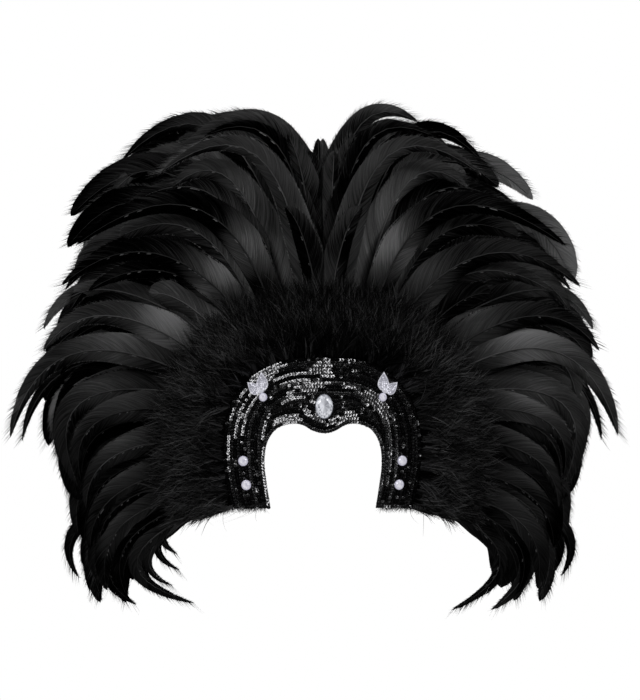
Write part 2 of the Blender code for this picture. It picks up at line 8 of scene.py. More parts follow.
import bpy
import numpy as np
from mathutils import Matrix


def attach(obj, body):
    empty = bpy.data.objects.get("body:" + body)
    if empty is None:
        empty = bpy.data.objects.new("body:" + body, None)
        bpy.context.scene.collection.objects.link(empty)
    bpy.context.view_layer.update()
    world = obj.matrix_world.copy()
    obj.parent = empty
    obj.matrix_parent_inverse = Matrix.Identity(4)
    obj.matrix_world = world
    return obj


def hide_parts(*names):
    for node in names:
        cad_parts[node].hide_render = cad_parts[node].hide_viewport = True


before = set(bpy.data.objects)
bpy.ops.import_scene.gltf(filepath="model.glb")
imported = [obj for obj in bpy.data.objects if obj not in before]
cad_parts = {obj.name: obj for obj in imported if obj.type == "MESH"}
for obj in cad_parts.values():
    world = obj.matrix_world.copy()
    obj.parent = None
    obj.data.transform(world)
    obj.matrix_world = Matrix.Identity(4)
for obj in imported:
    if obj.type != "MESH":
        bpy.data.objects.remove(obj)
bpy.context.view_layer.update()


# The stage: a white floor and white surroundings, as in a cut-out product photo. The camera sees both as pure
# white, but they light the pieces only dimly, so that black stays black and the soft boxes draw the sheen.
FLOOR_Z = -1.10
FLOOR_SIZE = 60.0
STAGE_WHITE = (1.0, 1.0, 1.0, 1.0)
ROOM_LIGHT = (0.012, 0.012, 0.012, 1.0)
FLOOR_LIGHT = (0.30, 0.30, 0.30, 1.0)

scene = bpy.context.scene
scene.view_settings.view_transform = "Standard"
scene.view_settings.look = "None"


def paint_stage(tree, seen_kind, lit_kind, out_kind, lit_colour):
    """Fills a node tree with white for what the camera sees and another colour for the light it gives."""
    tree.nodes.clear()
    kinds = (seen_kind, lit_kind, "LightPath", "MixShader", out_kind)
    seen, lit, ray, either, end = (tree.nodes.new("ShaderNode" + kind) for kind in kinds)
    seen.inputs["Color"].default_value = STAGE_WHITE
    lit.inputs["Color"].default_value = lit_colour
    tree.links.new(ray.outputs["Is Camera Ray"], either.inputs["Fac"])
    tree.links.new(lit.outputs[0], either.inputs[1])
    tree.links.new(seen.outputs[0], either.inputs[2])
    tree.links.new(either.outputs["Shader"], end.inputs["Surface"])


scene.world = bpy.data.worlds.new("studio_room")
scene.world.use_nodes = True
paint_stage(scene.world.node_tree, "Background", "Background", "OutputWorld", ROOM_LIGHT)

floor_paint = bpy.data.materials.new("white_floor")
floor_paint.use_nodes = True
paint_stage(floor_paint.node_tree, "Emission", "BsdfDiffuse", "OutputMaterial", FLOOR_LIGHT)
floor_sheet = bpy.data.meshes.new("floor")
half = FLOOR_SIZE / 2
floor_corners = [(x * half, y * half, FLOOR_Z) for x, y in ((-1, -1), (1, -1), (1, 1), (-1, 1))]
floor_sheet.from_pydata(floor_corners, [], [(0, 1, 2, 3)])
floor_sheet.materials.append(floor_paint)
floor = bpy.data.objects.new("floor", floor_sheet)
scene.collection.objects.link(floor)


# Soft boxes: a pair high in front and a level pair at the sides for the sheen of the vanes, a small pair in
# front for the sequins, one overhead, and a pair behind for the back of the fan.
BOX_COLUMNS = ("name", "place", "size", "watts")
BOX_TABLE = (
    ("key_box_left", (-1.80, -1.10, 1.50), 1.20, 11.0),
    ("key_box_right", (1.80, -1.10, 1.50), 1.20, 10.0),
    ("front_box_left", (-0.95, -2.60, 0.95), 0.70, 5.0),
    ("front_box_right", (0.95, -2.60, 0.95), 0.70, 3.0),
    ("overhead_box", (0.0, 0.10, 2.00), 1.40, 7.0),
    ("side_box_left", (-2.40, 0.40, 0.70), 1.20, 8.0),
    ("side_box_right", (2.40, 0.40, 0.70), 1.20, 8.0),
    ("rear_box_left", (-1.40, 1.80, 1.20), 1.20, 34.0),
    ("rear_box_right", (1.40, 1.80, 1.20), 1.20, 34.0),
)
AIM_POINT = np.array((0.0, 0.0, 0.03))


def aimed(obj, place, target):
    """Puts a lamp or the camera at a place, looking at a target."""
    obj.location = place
    away = [a - b for a, b in zip(place, target)]
    yaw = math.atan2(away[0], -away[1])
    fall = math.atan2(math.hypot(away[0], away[1]), away[2])
    obj.rotation_euler = (fall, 0.0, yaw)


for line in BOX_TABLE:
    box = dict(zip(BOX_COLUMNS, line))
    lamp = bpy.data.lights.new(box["name"], "AREA")
    lamp.shape = "SQUARE"
    lamp.size = box["size"]
    lamp.energy = box["watts"]
    lamp_object = bpy.data.objects.new(box["name"], lamp)
    scene.collection.objects.link(lamp_object)
    aimed(lamp_object, box["place"], AIM_POINT)


# The camera: a long lens a few degrees to the wearer's right of straight ahead, level with the fan's middle.
# The frame shows 0.91 m over its height at the feathers.
FRAME_HEIGHT = 0.910
CAMERA_DISTANCE = 4.0
CAMERA_SIDE = math.radians(-3.0)
VIEW_POINT = (0.0, 0.0, 0.0195)
SENSOR = 36.0

camera_data = bpy.data.cameras.new("photo_camera")
camera_data.sensor_width = SENSOR
camera_data.lens = SENSOR * CAMERA_DISTANCE / FRAME_HEIGHT
camera_data.clip_end = 200.0
camera = bpy.data.objects.new("photo_camera", camera_data)
scene.collection.objects.link(camera)
sideways, forwards = CAMERA_DISTANCE * math.sin(CAMERA_SIDE), -CAMERA_DISTANCE * math.cos(CAMERA_SIDE)
aimed(camera, (sideways, forwards, VIEW_POINT[2]), VIEW_POINT)
scene.camera = camera


# The backing board: 3 mm black felt cut as a horseshoe and dished round the forehead. It carries every row of
# feathers on its front, and shows only from behind, with a stitched binding round its edge.
BAND_HALF_WIDTH = 0.127
BAND_HEIGHT = 0.194
BAND_TOP = 0.010
FOREHEAD_DEPTH = 0.100
BROW_HEIGHT = -0.090
WRAP_DEPTH = 0.080
WRAP_HALF_WIDTH = 0.110
LEAN_ABOVE_BROW = 0.25
LEAN_BELOW_BROW = 0.12
BEND_LENGTH = 0.060
BOARD_THICKNESS = 0.003
BOARD_MARGIN = 0.067
BOARD_INSET = 0.0015
BINDING_WIDTH = 0.0022
STITCH_PITCH = 0.0060
STITCH_SHARES = np.array((0.1, 0.35, 0.65))
THREAD_RADIUS = 0.0004

# Half of the band's outline from the middle to a leg's end: shares of the half width across and of the height
# downwards. The inner edge dips into a peak over the forehead
EDGE_COLUMNS = ("along", "inner_across", "inner_drop", "outer_across", "outer_drop")
EDGE_TABLE = np.array((
    (0.00, 0.000, 0.495, 0.000, 0.000),
    (0.10, 0.110, 0.479, 0.157, 0.003),
    (0.20, 0.210, 0.443, 0.315, 0.010),
    (0.28, 0.290, 0.433, 0.457, 0.034),
    (0.36, 0.378, 0.441, 0.598, 0.075),
    (0.44, 0.465, 0.466, 0.732, 0.134),
    (0.52, 0.531, 0.515, 0.850, 0.222),
    (0.60, 0.571, 0.577, 0.937, 0.330),
    (0.68, 0.587, 0.649, 0.984, 0.448),
    (0.76, 0.587, 0.727, 1.000, 0.582),
    (0.84, 0.571, 0.809, 0.992, 0.716),
    (0.92, 0.551, 0.897, 0.961, 0.856),
    (1.00, 0.528, 0.990, 0.909, 1.000),
))


def edge_value(column, station):
    """A column of the edge table at an array of stations from -1 to 1, on one smooth mirrored curve."""
    along = EDGE_TABLE[:, 0]
    values = EDGE_TABLE[:, EDGE_COLUMNS.index(column)]
    odd = column.endswith("across")
    reach = np.clip(np.abs(station), 0.0, 1.0)
    at = np.clip(np.searchsorted(along, reach, side="right") - 1, 0, len(along) - 2)
    after = np.minimum(np.arange(len(along)) + 1, len(along) - 1)
    before = np.maximum(np.arange(len(along)) - 1, 0)
    slope = (values[after] - values[before]) / (along[after] - along[before])
    slope[0] = values[1] / along[1] if odd else 0.0
    span = along[at + 1] - along[at]
    share = (reach - along[at]) / span
    square = share * share
    cube = square * share
    value = (
        (2 * cube - 3 * square + 1) * values[at]
        + (cube - 2 * square + share) * span * slope[at]
        + (3 * square - 2 * cube) * values[at + 1]
        + (cube - square) * span * slope[at + 1]
    )
    return np.where(station < 0, -value, value) if odd else value


def edge_point(edge, station):
    """Points on the band's inner or outer edge, in the front view."""
    station = np.asarray(station, float)
    across = edge_value(edge + "_across", station) * BAND_HALF_WIDTH
    up = BAND_TOP - edge_value(edge + "_drop", station) * BAND_HEIGHT
    return np.stack([across, up], axis=-1)


def unit(vectors):
    """Directions of length one."""
    return vectors / (np.linalg.norm(vectors, axis=-1, keepdims=True) + 1e-12)


def square_to(run):
    """Directions of the front view, turned a right angle anticlockwise."""
    return np.stack([-run[..., 1], run[..., 0]], axis=-1)


def away_from(edge, station):
    """The direction square to an edge of the band, on the side away from the face for the outer edge."""
    step = 0.01
    middle = np.clip(station, -1.0 + step, 1.0 - step)
    return square_to(unit(edge_point(edge, middle + step) - edge_point(edge, middle - step)))


def flat_point(station, across, beyond):
    """Points of the front view: across goes from the band's inner edge to its outer one, beyond past it."""
    station, across, beyond = np.broadcast_arrays(station, across, beyond)
    across = across[..., None]
    inner = edge_point("inner", station)
    outer = edge_point("outer", station)
    return inner * (1 - across) + outer * across + away_from("outer", station) * beyond[..., None]


def dish(x, z):
    """How far back the board's front face lies."""
    wrap = WRAP_DEPTH * x * x / (x * x + WRAP_HALF_WIDTH**2)
    rise = z - BROW_HEIGHT
    mean = 0.5 * (LEAN_ABOVE_BROW + LEAN_BELOW_BROW)
    tilt = 0.5 * (LEAN_ABOVE_BROW - LEAN_BELOW_BROW)
    return wrap + mean * (np.hypot(rise, BEND_LENGTH) - BEND_LENGTH) + tilt * rise - FOREHEAD_DEPTH


def dish_slopes(x, z):
    """How fast the board's front face falls back with x and with z."""
    step = 0.001
    slope_x = (dish(x + step, z) - dish(x - step, z)) / (2 * step)
    slope_z = (dish(x, z + step) - dish(x, z - step)) / (2 * step)
    return slope_x, slope_z


def raised(flat, height):
    """Points in front of the board by a height, over points of the front view."""
    return np.stack([flat[..., 0], dish(flat[..., 0], flat[..., 1]) - height, flat[..., 1]], axis=-1)


def grid_faces(rows, columns, closed=False):
    """Four-cornered faces over points stored row by row."""
    row = np.arange(rows - 1)[:, None] * columns
    column = np.arange(columns if closed else columns - 1)[None, :]
    after = (column + 1) % columns
    corners = [row + column, row + after, row + columns + after, row + columns + column]
    return np.stack(corners, axis=-1).reshape(-1, 4)


def one_face(corners):
    """The face round a ring of points."""
    return np.arange(corners)[None, :]


def copied(faces, count, points_each):
    """The faces of many like pieces whose points are stored one piece after another."""
    return (faces[None] + points_each * np.arange(count)[:, None, None]).reshape(-1, faces.shape[1])


def make_piece(name, parts, finish, smooth=True):
    """One mesh object from parts of points, faces, a shade value and, for barbs, a grain for each point."""
    points, corners, sizes, shades, grains = [], [], [], [], []
    start = 0
    for part_points, part_faces, shade, *grain in parts:
        part_points = np.asarray(part_points, float).reshape(-1, 3)
        part_faces = np.asarray(part_faces)
        points.append(part_points)
        shades.append(np.broadcast_to(np.asarray(shade, float).reshape(-1), len(part_points)))
        grains += [np.asarray(values, float).reshape(-1, 3) for values in grain]
        corners.append((part_faces + start).ravel())
        sizes.append(np.full(len(part_faces), part_faces.shape[1]))
        start += len(part_points)
    corners = np.concatenate(corners).astype(np.int32)
    sizes = np.concatenate(sizes)
    mesh = bpy.data.meshes.new(name)
    mesh.vertices.add(start)
    mesh.vertices.foreach_set("co", np.concatenate(points).astype(np.float32).ravel())
    mesh.loops.add(len(corners))
    mesh.loops.foreach_set("vertex_index", corners)
    mesh.polygons.add(len(sizes))
    starts = np.concatenate([[0], np.cumsum(sizes)[:-1]]).astype(np.int32)
    mesh.polygons.foreach_set("loop_start", starts)
    mesh.polygons.foreach_set("use_smooth", np.full(len(sizes), smooth))
    mesh.update(calc_edges=True)
    shade_values = mesh.attributes.new("shade", "FLOAT", "POINT")
    shade_values.data.foreach_set("value", np.concatenate(shades).astype(np.float32))
    if grains:
        grain_values = mesh.attributes.new("grain", "FLOAT_VECTOR", "POINT")
        grain_values.data.foreach_set("vector", np.concatenate(grains).astype(np.float32).ravel())
    mesh.materials.append(finish)
    obj = bpy.data.objects.new(name, mesh)
    scene.collection.objects.link(obj)
    return obj


def new_finish(name, **settings):
    """A material with its shader set, a function that adds a node with set inputs, and one that links two."""
    made = bpy.data.materials.new(name)
    made.use_nodes = True
    tree = made.node_tree
    shader = tree.nodes["Principled BSDF"]
    for key, value in settings.items():
        shader.inputs[key.replace("_", " ")].default_value = value

    def add(kind, **values):
        node = tree.nodes.new("ShaderNode" + kind)
        for key, value in values.items():
            if key in node.inputs:
                node.inputs[key].default_value = value
            else:
                setattr(node, key, value)
        return node

    def link(source, output, target, *inputs):
        for key in inputs:
            tree.links.new(source.outputs[output], target.inputs[key])

    return made, shader, add, link


def ramp(add, dark, bright):
    """A colour ramp from a dark colour to a bright one."""
    node = add("ValToRGB")
    for element, colour in zip(node.color_ramp.elements, (dark, bright)):
        element.color = (*colour, 1.0)
    return node


def change(add, low, high, start, end):
    """A node that turns a value between low and high into one between start and end."""
    return add("MapRange", **{"From Min": low, "From Max": high, "To Min": start, "To Max": end})


def grained(add, link, shader, scale, detail, strength, distance, roughness=0.5):
    """Fine noise over the surface that raises it; returns the noise."""
    place = add("TexCoord")
    noise = add("TexNoise", Scale=scale, Detail=detail, Roughness=roughness)
    bump = add("Bump", Strength=strength, Distance=distance)
    link(place, "Object", noise, "Vector")
    link(noise, "Fac", bump, "Height")
    link(bump, "Normal", shader, "Normal")
    return noise


def felt_finish():
    """Matt pressed felt: a fine lumpy surface with a soft sheen of loose fibres."""
    made, shader, add, link = new_finish(
        "pressed_black_felt", Roughness=0.95, Specular_IOR_Level=0.15, Sheen_Weight=0.10, Sheen_Roughness=0.5,
    )
    grained(add, link, shader, 900.0, 6.0, 0.5, 0.0006, 0.7)
    place = add("TexCoord")
    blotches = add("TexNoise", Scale=60.0, Detail=3.0)
    colours = ramp(add, (0.003, 0.003, 0.0032), (0.013, 0.013, 0.0135))
    link(place, "Object", blotches, "Vector")
    link(blotches, "Fac", colours, "Fac")
    link(colours, "Color", shader, "Base Color")
    return made


def thread_finish():
    colour = (0.03, 0.03, 0.032, 1.0)
    made, shader, add, link = new_finish("black_thread", Base_Color=colour, Roughness=0.55)
    grained(add, link, shader, 2500.0, 2.0, 0.4, 0.0002)
    return made


def walked_along(line):
    """The distance walked to each point of a line."""
    return np.concatenate([[0.0], np.cumsum(np.linalg.norm(np.diff(line, axis=0), axis=1))])


def points_at(line, walked, distances):
    """Points of a line at given distances along it."""
    return np.stack([np.interp(distances, walked, column) for column in line.T], axis=-1)


def tube(line, radius, around):
    """A round tube along an open line of points."""
    run = unit(np.gradient(line, axis=0))
    side = unit(np.cross(run, (0.0, -1.0, 0.05)))
    up = np.cross(side, run)
    angle = (2 * np.pi * np.arange(around) / around)[None, :, None]
    ring = side[:, None] * np.cos(angle) + up[:, None] * np.sin(angle)
    return line[:, None] + ring * radius, grid_faces(len(line), around, closed=True), 0.5


def stitches(line):
    """Short stitches of thread at an even pitch along a line of points."""
    walked = walked_along(line)
    spans = np.arange(0.0, walked[-1] - STITCH_PITCH, STITCH_PITCH)[:, None] + STITCH_PITCH * STITCH_SHARES
    return [tube(points_at(line, walked, span), THREAD_RADIUS, 5) for span in spans]


felt = felt_finish()
thread = thread_finish()

board_stations = np.linspace(-1.0, 1.0, 221)
board_line = [(across, BOARD_INSET) for across in (0.0, 0.25, 0.5)] + [(0.8, 0.5 * BOARD_INSET), (1.0, 0.0)]
board_line += [(1.0, share * BOARD_MARGIN) for share in (0.15, 0.3, 0.45, 0.6, 0.75, 0.9, 1.0)]
board_section = [(across, beyond, 0.0) for across, beyond in board_line]
board_section += [(across, beyond, -BOARD_THICKNESS) for across, beyond in reversed(board_line)]


def swept(stations, section):
    """Points of a section of (across, beyond, height) carried along the band's edge."""
    across, beyond, height = np.array(section).T[:, None]
    return raised(flat_point(stations[:, None], across, beyond), height)


def sheet_faces(rows, around):
    """The faces of a closed sheet swept over sections, each with its front points first and then its back."""
    step = np.arange(around // 2 - 1)
    end = np.stack([step, step + 1, around - 2 - step, around - 1 - step], axis=-1)
    return np.concatenate([grid_faces(rows, around, closed=True), end, end[:, ::-1] + (rows - 1) * around])


board_points = swept(board_stations, board_section)
board_faces = sheet_faces(len(board_stations), len(board_section))
board = make_piece("felt_board", [(board_points, board_faces, 0.5)], felt)
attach(board, "root")
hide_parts("backing_board")


binding_back = -BOARD_THICKNESS - 0.25 * BINDING_WIDTH
stitch_section = [(1.0, BOARD_MARGIN - 3 * BINDING_WIDTH, binding_back)]
board_outer = flat_point(board_stations, 1.0, BOARD_MARGIN)
board_inner = flat_point(board_stations, 0.0, BOARD_INSET)
hem_parts = [tube(raised(board_outer, -0.5 * BOARD_THICKNESS), BINDING_WIDTH, 8)]
hem_parts += stitches(swept(np.linspace(-0.995, 0.995, 1400), stitch_section)[:, 0])
binding = make_piece("board_binding", hem_parts, thread)
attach(binding, "root")
np.ptp(board_outer[:, 0])
np.ptp(board_outer[:, 1])


# The head cap: a half shell of 3 mm black felt, blocked from a flat oval to the crown of the head and sewn to
# the back of the board at the front. Its rim is turned over and stitched.
CAP_HALF_WIDTH = 0.079
CAP_HALF_LENGTH = 0.101
CAP_RISE = 0.100
CAP_DEPTH = 0.062
CAP_WALL = 0.003
CAP_GAP = 0.0007
SEAM_FALL = 0.93
RIM_ROLL = 0.0006


def cap_surface(wall, fall, angle):
    """Points of the cap's shell, whose front is pressed flat against the back of the board."""
    fall, angle = np.broadcast_arrays(fall, angle)
    x = (CAP_HALF_WIDTH + wall) * np.sin(fall) * np.cos(angle)
    y = (CAP_HALF_LENGTH + wall) * np.sin(fall) * np.sin(angle)
    z = (CAP_RISE + wall) * np.cos(fall) - CAP_RISE
    front = dish(x, z) + BOARD_THICKNESS + CAP_GAP + CAP_WALL - wall
    return np.stack([x, np.maximum(y, front), z], axis=-1)


lowest_fall = math.acos(1.0 - CAP_DEPTH / CAP_RISE)
cap_turns = np.linspace(0, 2 * np.pi, 97)[:-1]
cap_falls = np.linspace(0.004, lowest_fall, 28)
cap_parts = []
shells = [cap_surface(wall, cap_falls[:, None], cap_turns[None, :]) for wall in (0.0, CAP_WALL)]
for shell in shells:
    cap_parts.append((shell, grid_faces(len(cap_falls), len(cap_turns), closed=True), 0.5))
    cap_parts.append((shell[0], one_face(len(cap_turns)), 0.5))
rim = np.stack([shells[0][-1], shells[1][-1]])
cap_parts.append((rim, grid_faces(2, len(cap_turns), closed=True), 0.5))
cap = make_piece("felt_cap", cap_parts, felt)
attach(cap, "root")
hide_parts("head_cap")

hem_turns = np.linspace(0, 2 * np.pi, 400)
rim_line = cap_surface(0.5 * CAP_WALL, lowest_fall, hem_turns)
seam_line = cap_surface(CAP_WALL + 0.5 * THREAD_RADIUS, SEAM_FALL * lowest_fall, hem_turns)
rim_parts = [tube(rim_line, 0.5 * CAP_WALL + RIM_ROLL, 8)] + stitches(seam_line)
rim_binding = make_piece("cap_rim", rim_parts, thread)
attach(rim_binding, "root")


# The feathers: long dyed cock and goose feathers, tied in strips that are sewn to the board in four rows.
# Each has a tapering quill and two satin vanes of barbs, wide on the crown side, split here and there and
# frayed along the edge, and arches outwards to a ragged tip.
FAN_RADIUS = 0.400
FEATHER_WIDTH = 0.042
FEATHER_TILT = 0.11
UPPER_VANE = 0.64
LOWER_VANE = 0.42
BARB_SLANT = 2.1
LOCK_PITCH = 0.0030
FRINGE_PITCH = 0.0010
FRINGE_LENGTH = 0.0058
SPLIT_WIDTH = 0.0010
QUILL_RADIUS = 0.0010
CAMBER = 0.16
GRAIN_ACROSS = 0.0014
GRAIN_ALONG = 0.020
MIDDLE_GAP = 0.00005
STRIP_WIDTH = 0.010
STRIP_SPACING = 0.0125
FIRST_STRIP = 0.055
FIRST_HEIGHT = 0.0062
ROW_STEP = 0.0065
STRIP_COVER = 0.0030
SEAT_GAP = 0.0006
STRIP_END = 0.98
BARB_SHARES = np.array((0.0, 0.12, 0.3, 0.5, 0.7, 0.87, 1.0))
HAIR_HALF_WIDTH = 0.0005
HAIR_OVERLAP = 0.0012
MEAN_TONE = 0.19
TONE_SPREAD = 0.11
SIDE_TONE = {"left": -0.01, "right": 0.02}
FRINGE_TONES = (-0.08, -0.04, 0.10, 0.28)
PALE_TONE = 0.92
TAPE_TONE = 0.05
MIDDLE_SINK = -0.0045

# How much each row leans forward with its distance from the board
ROW_SPREAD = {"rear": -0.20, "back": -0.09, "middle": 0.04, "front": 0.18}

# The main feathers of each row: side and station, the middle and tip of the quill as shares of the fan's
# radius across and up, the width, how blunt the tip is, how pale the dye, and a painted sheen near the foot.
# Zeros at a line's end are left out. The rear row lies between the feathers of the back row. Some short and
# slim ones, at the middle and low down, are tied in loosely and have no blade of their own among the solids
FEATHER_COLUMNS = (
    "side", "station", "crest_across", "crest_up", "tip_across", "tip_up", "width", "blunt", "pale", "gleam",
)
FEATHER_TABLE = {
    "back": (
        ("both", 0.010, 0.006, 0.520, 0.008, 0.735, 1.00, 0.5),
        ("left", 0.02, 0.085, 0.690, 0.400, 0.800, 0.95),
        ("left", 0.045, 0.150, 0.750, 0.527, 0.618, 1.20),
        ("right", 0.04, 0.098, 0.725, 0.330, 0.800, 1.20),
        ("left", 0.12, 0.299, 0.740, 0.644, 0.673, 1.10),
        ("right", 0.12, 0.276, 0.715, 0.546, 0.666, 1.10),
        ("left", 0.22, 0.449, 0.610, 0.810, 0.488, 1.15, 0.5),
        ("right", 0.22, 0.410, 0.615, 0.710, 0.545, 1.12, 0.4, 0.7),
        ("left", 0.30, 0.520, 0.515, 0.820, 0.385, 1.10, 0.5),
        ("right", 0.30, 0.601, 0.460, 0.830, 0.273, 1.15, 0.8, 0.7),
        ("both", 0.37, 0.553, 0.374, 0.826, 0.244, 0.90),
        ("both", 0.43, 0.683, 0.244, 0.895, 0.117, 0.70, 0.2, 0.5),
        ("both", 0.50, 0.699, 0.130, 0.878, 0.010, 1.00, 0.6),
        ("left", 0.56, 0.780, 0.000, 0.962, -0.244, 0.60),
        ("right", 0.56, 0.750, 0.000, 0.912, -0.244, 0.60),
        ("both", 0.60, 0.780, -0.098, 0.780, -0.338, 1.10, 0.3, 0.4),
        ("both", 0.68, 0.745, -0.211, 0.780, -0.432, 0.90, 0.6, 0.1),
        ("both", 0.78, 0.722, -0.341, 0.780, -0.552, 0.90),
        ("both", 0.88, 0.760, -0.504, 0.780, -0.686, 0.65, 0.0, 0.1),
        ("both", 0.95, 0.676, -0.552, 0.712, -0.767, 0.90, 0.4),
        ("both", 0.98, 0.601, -0.580, 0.628, -0.765, 0.80, 0.4),
    ),
    "middle": (
        ("both", 0.01, 0.050, 0.450, 0.110, 0.620, 0.80, 0.6),
        ("both", 0.02, 0.026, 0.440, 0.040, 0.690, 1.10, 0.5, 0.0, 0.1),
        ("both", 0.05, 0.050, 0.520, 0.110, 0.745, 1.20, 0.2, 0.0, 0.1),
        ("both", 0.08, 0.117, 0.670, 0.374, 0.745, 0.90, 0.0, 0.0, 0.2),
        ("both", 0.20, 0.267, 0.572, 0.481, 0.575, 1.15, 0.2, 0.0, 0.1),
        ("both", 0.26, 0.330, 0.536, 0.650, 0.500, 0.90, 0.0, 0.0, 0.2),
        ("both", 0.30, 0.380, 0.416, 0.647, 0.416, 0.85, 1.0, 0.1, 0.2),
        ("both", 0.36, 0.471, 0.293, 0.748, 0.240, 0.90, 0.2, 0.0, 0.3),
        ("both", 0.42, 0.429, 0.192, 0.556, 0.231, 0.85, 1.0, 0.1, 0.2),
        ("both", 0.47, 0.585, 0.146, 0.812, 0.070, 0.90, 0.0, 0.0, 0.2),
        ("both", 0.56, 0.666, 0.030, 0.838, -0.030, 0.80, 0.0, 0.0, 0.2),
        ("both", 0.60, 0.764, -0.114, 0.780, -0.384, 1.00, 0.2, 0.0, 0.1),
        ("both", 0.69, 0.692, -0.205, 0.767, -0.400, 0.90, 0.2, 0.0, 0.1),
        ("both", 0.80, 0.676, -0.358, 0.761, -0.569, 0.90, 0.1, 0.0, 0.1),
        ("both", 0.88, 0.657, -0.471, 0.722, -0.683, 0.90, 0.2, 0.0, 0.1),
        ("left", 0.95, 0.666, -0.608, 0.595, -0.767, 0.75),
        ("right", 0.95, 0.650, -0.600, 0.543, -0.790, 0.75),
        ("both", 0.965, 0.560, -0.600, 0.520, -0.715, 0.50),
        ("both", 0.93, 0.690, -0.520, 0.708, -0.742, 0.60),
        ("left", 0.96, 0.505, -0.525, 0.463, -0.605, 0.40),
        ("left", 0.955, 0.522, -0.560, 0.458, -0.655, 0.40),
        ("left", 0.95, 0.550, -0.600, 0.480, -0.705, 0.40),
    ),
    "front": (
        ("both", 0.01, 0.055, 0.370, 0.125, 0.505, 0.80, 0.7),
        ("both", 0.10, 0.185, 0.647, 0.520, 0.618, 0.90, 0.0, 0.0, 0.2),
        ("both", 0.24, 0.380, 0.494, 0.790, 0.384, 1.05, 0.0, 0.0, 0.6),
        ("both", 0.31, 0.504, 0.351, 0.835, 0.254, 1.05, 0.0, 0.0, 0.6),
        ("both", 0.50, 0.657, 0.156, 0.890, 0.046, 1.05, 0.0, 0.0, 0.5),
        ("left", 0.56, 0.774, 0.042, 0.993, -0.228, 0.95, 0.0, 0.0, 0.3),
        ("right", 0.56, 0.731, 0.049, 0.946, -0.224, 1.05, 0.0, 0.0, 0.3),
        ("both", 0.64, 0.705, -0.172, 0.767, -0.374, 0.90, 0.0, 0.0, 0.2),
        ("both", 0.74, 0.660, -0.286, 0.754, -0.455, 0.90, 0.0, 0.0, 0.2),
        ("both", 0.84, 0.650, -0.406, 0.741, -0.585, 0.90, 0.1, 0.0, 0.1),
        ("both", 0.93, 0.634, -0.504, 0.689, -0.715, 0.90, 0.3, 0.0, 0.1),
        ("left", 0.965, 0.592, -0.620, 0.411, -0.758, 0.52),
        ("right", 0.965, 0.569, -0.614, 0.413, -0.784, 0.52),
        ("both", 0.88, 0.655, -0.450, 0.700, -0.655, 0.55),
        ("both", 0.945, 0.610, -0.550, 0.625, -0.735, 0.60, 0.1),
    ),
}


def feather_finish():
    """Dyed black barbs with a satin sheen: fine streaks run along the barbs, and the shade, which holds the
    dye's tone together with painted shade and painted sheen, sets the colour and how it shines."""
    made, shader, add, link = new_finish("dyed_black_feather")
    shade = add("Attribute", attribute_name="shade")
    grain = add("Attribute", attribute_name="grain")
    streaks = add("TexNoise", Scale=1.0, Detail=3.0, Roughness=0.6)
    contrast = change(add, 0.3, 0.7, -0.15, 0.15)
    total = add("Math", operation="ADD", use_clamp=True)
    dye_and_painted_light = ramp(add, (0.0002, 0.0002, 0.0002), (0.30, 0.30, 0.305))
    dye_and_painted_light.color_ramp.elements.new(0.5).color = (0.0056, 0.0056, 0.0060, 1.0)
    shine = change(add, 0.0, 0.6, 0.60, 0.32)
    gloss = change(add, 0.12, 0.55, 0.0, 1.0)
    bump = add("Bump", Strength=0.55, Distance=0.0010)
    link(grain, "Vector", streaks, "Vector")
    link(streaks, "Fac", contrast, "Value")
    link(streaks, "Fac", bump, "Height")
    link(bump, "Normal", shader, "Normal")
    link(shade, "Fac", total, 0)
    link(contrast, "Result", total, 1)
    for node, output, key in ((dye_and_painted_light, "Color", "Base Color"), (shine, "Result", "Roughness")):
        link(total, "Value", node, 0)
        link(node, output, shader, key)
    link(total, "Value", gloss, "Value")
    link(gloss, "Result", shader, "Specular IOR Level")
    return made


def past_board(flat):
    """About how far points of the front view lie past the board's edge."""
    centre = BROW_HEIGHT - 0.10 * BAND_HEIGHT
    margin = BAND_HALF_WIDTH + BOARD_MARGIN
    beyond = np.hypot(flat[..., 0] / 1.08, flat[..., 1] - centre) - 0.95 * margin
    return 0.5 * (beyond + np.hypot(beyond, 0.1 * margin))


def row_height(row):
    """How far in front of the board a row's feathers lie at their feet."""
    return FIRST_HEIGHT + ROW_STEP * list(ROW_SPREAD).index(row)


def strip_start(row):
    """How far past the band's edge the tape of a row begins."""
    return FIRST_STRIP - STRIP_SPACING * list(ROW_SPREAD).index(row)


def vane_width(share, blunt):
    """A feather's half width along its quill, as a share of its widest."""
    foot = 0.45 + 0.55 * np.clip(share / 0.35, 0.0, 1.0)
    pointed = np.minimum(1.0, 1.38 * np.clip(1.0 - share, 0.0, 1.0) ** 0.68)
    rounded = np.sqrt(np.clip(1.0 - np.clip((share - 0.72) / 0.28, 0.0, None) ** 2, 0.0, 1.0))
    return foot * (pointed * (1.0 - blunt) + rounded * blunt)


def looseness(share, sound, firm):
    """How freely the barbs part at a share of the length: held up to the sound share, loosest at the tip."""
    return np.clip((share - sound) / (1.0 - sound), 0.0, 1.0) ** 1.5 * (1.0 - firm)


def dyed(shade, pale, share):
    """The shade of barbs, which a pale dye lifts towards the tip."""
    pale = pale * np.clip(share * 1.8 - 0.6, 0.0, 1.0)
    return np.clip(shade, 0.02, 1.0) * (1 - pale) + PALE_TONE * pale


def streak_place(spec, along, across):
    """Where the streaks are read: by the foot of a barb, across the vane and from feather to feather."""
    return np.stack(np.broadcast_arrays(along / GRAIN_ACROSS, across / GRAIN_ALONG, spec["number"]), axis=-1)


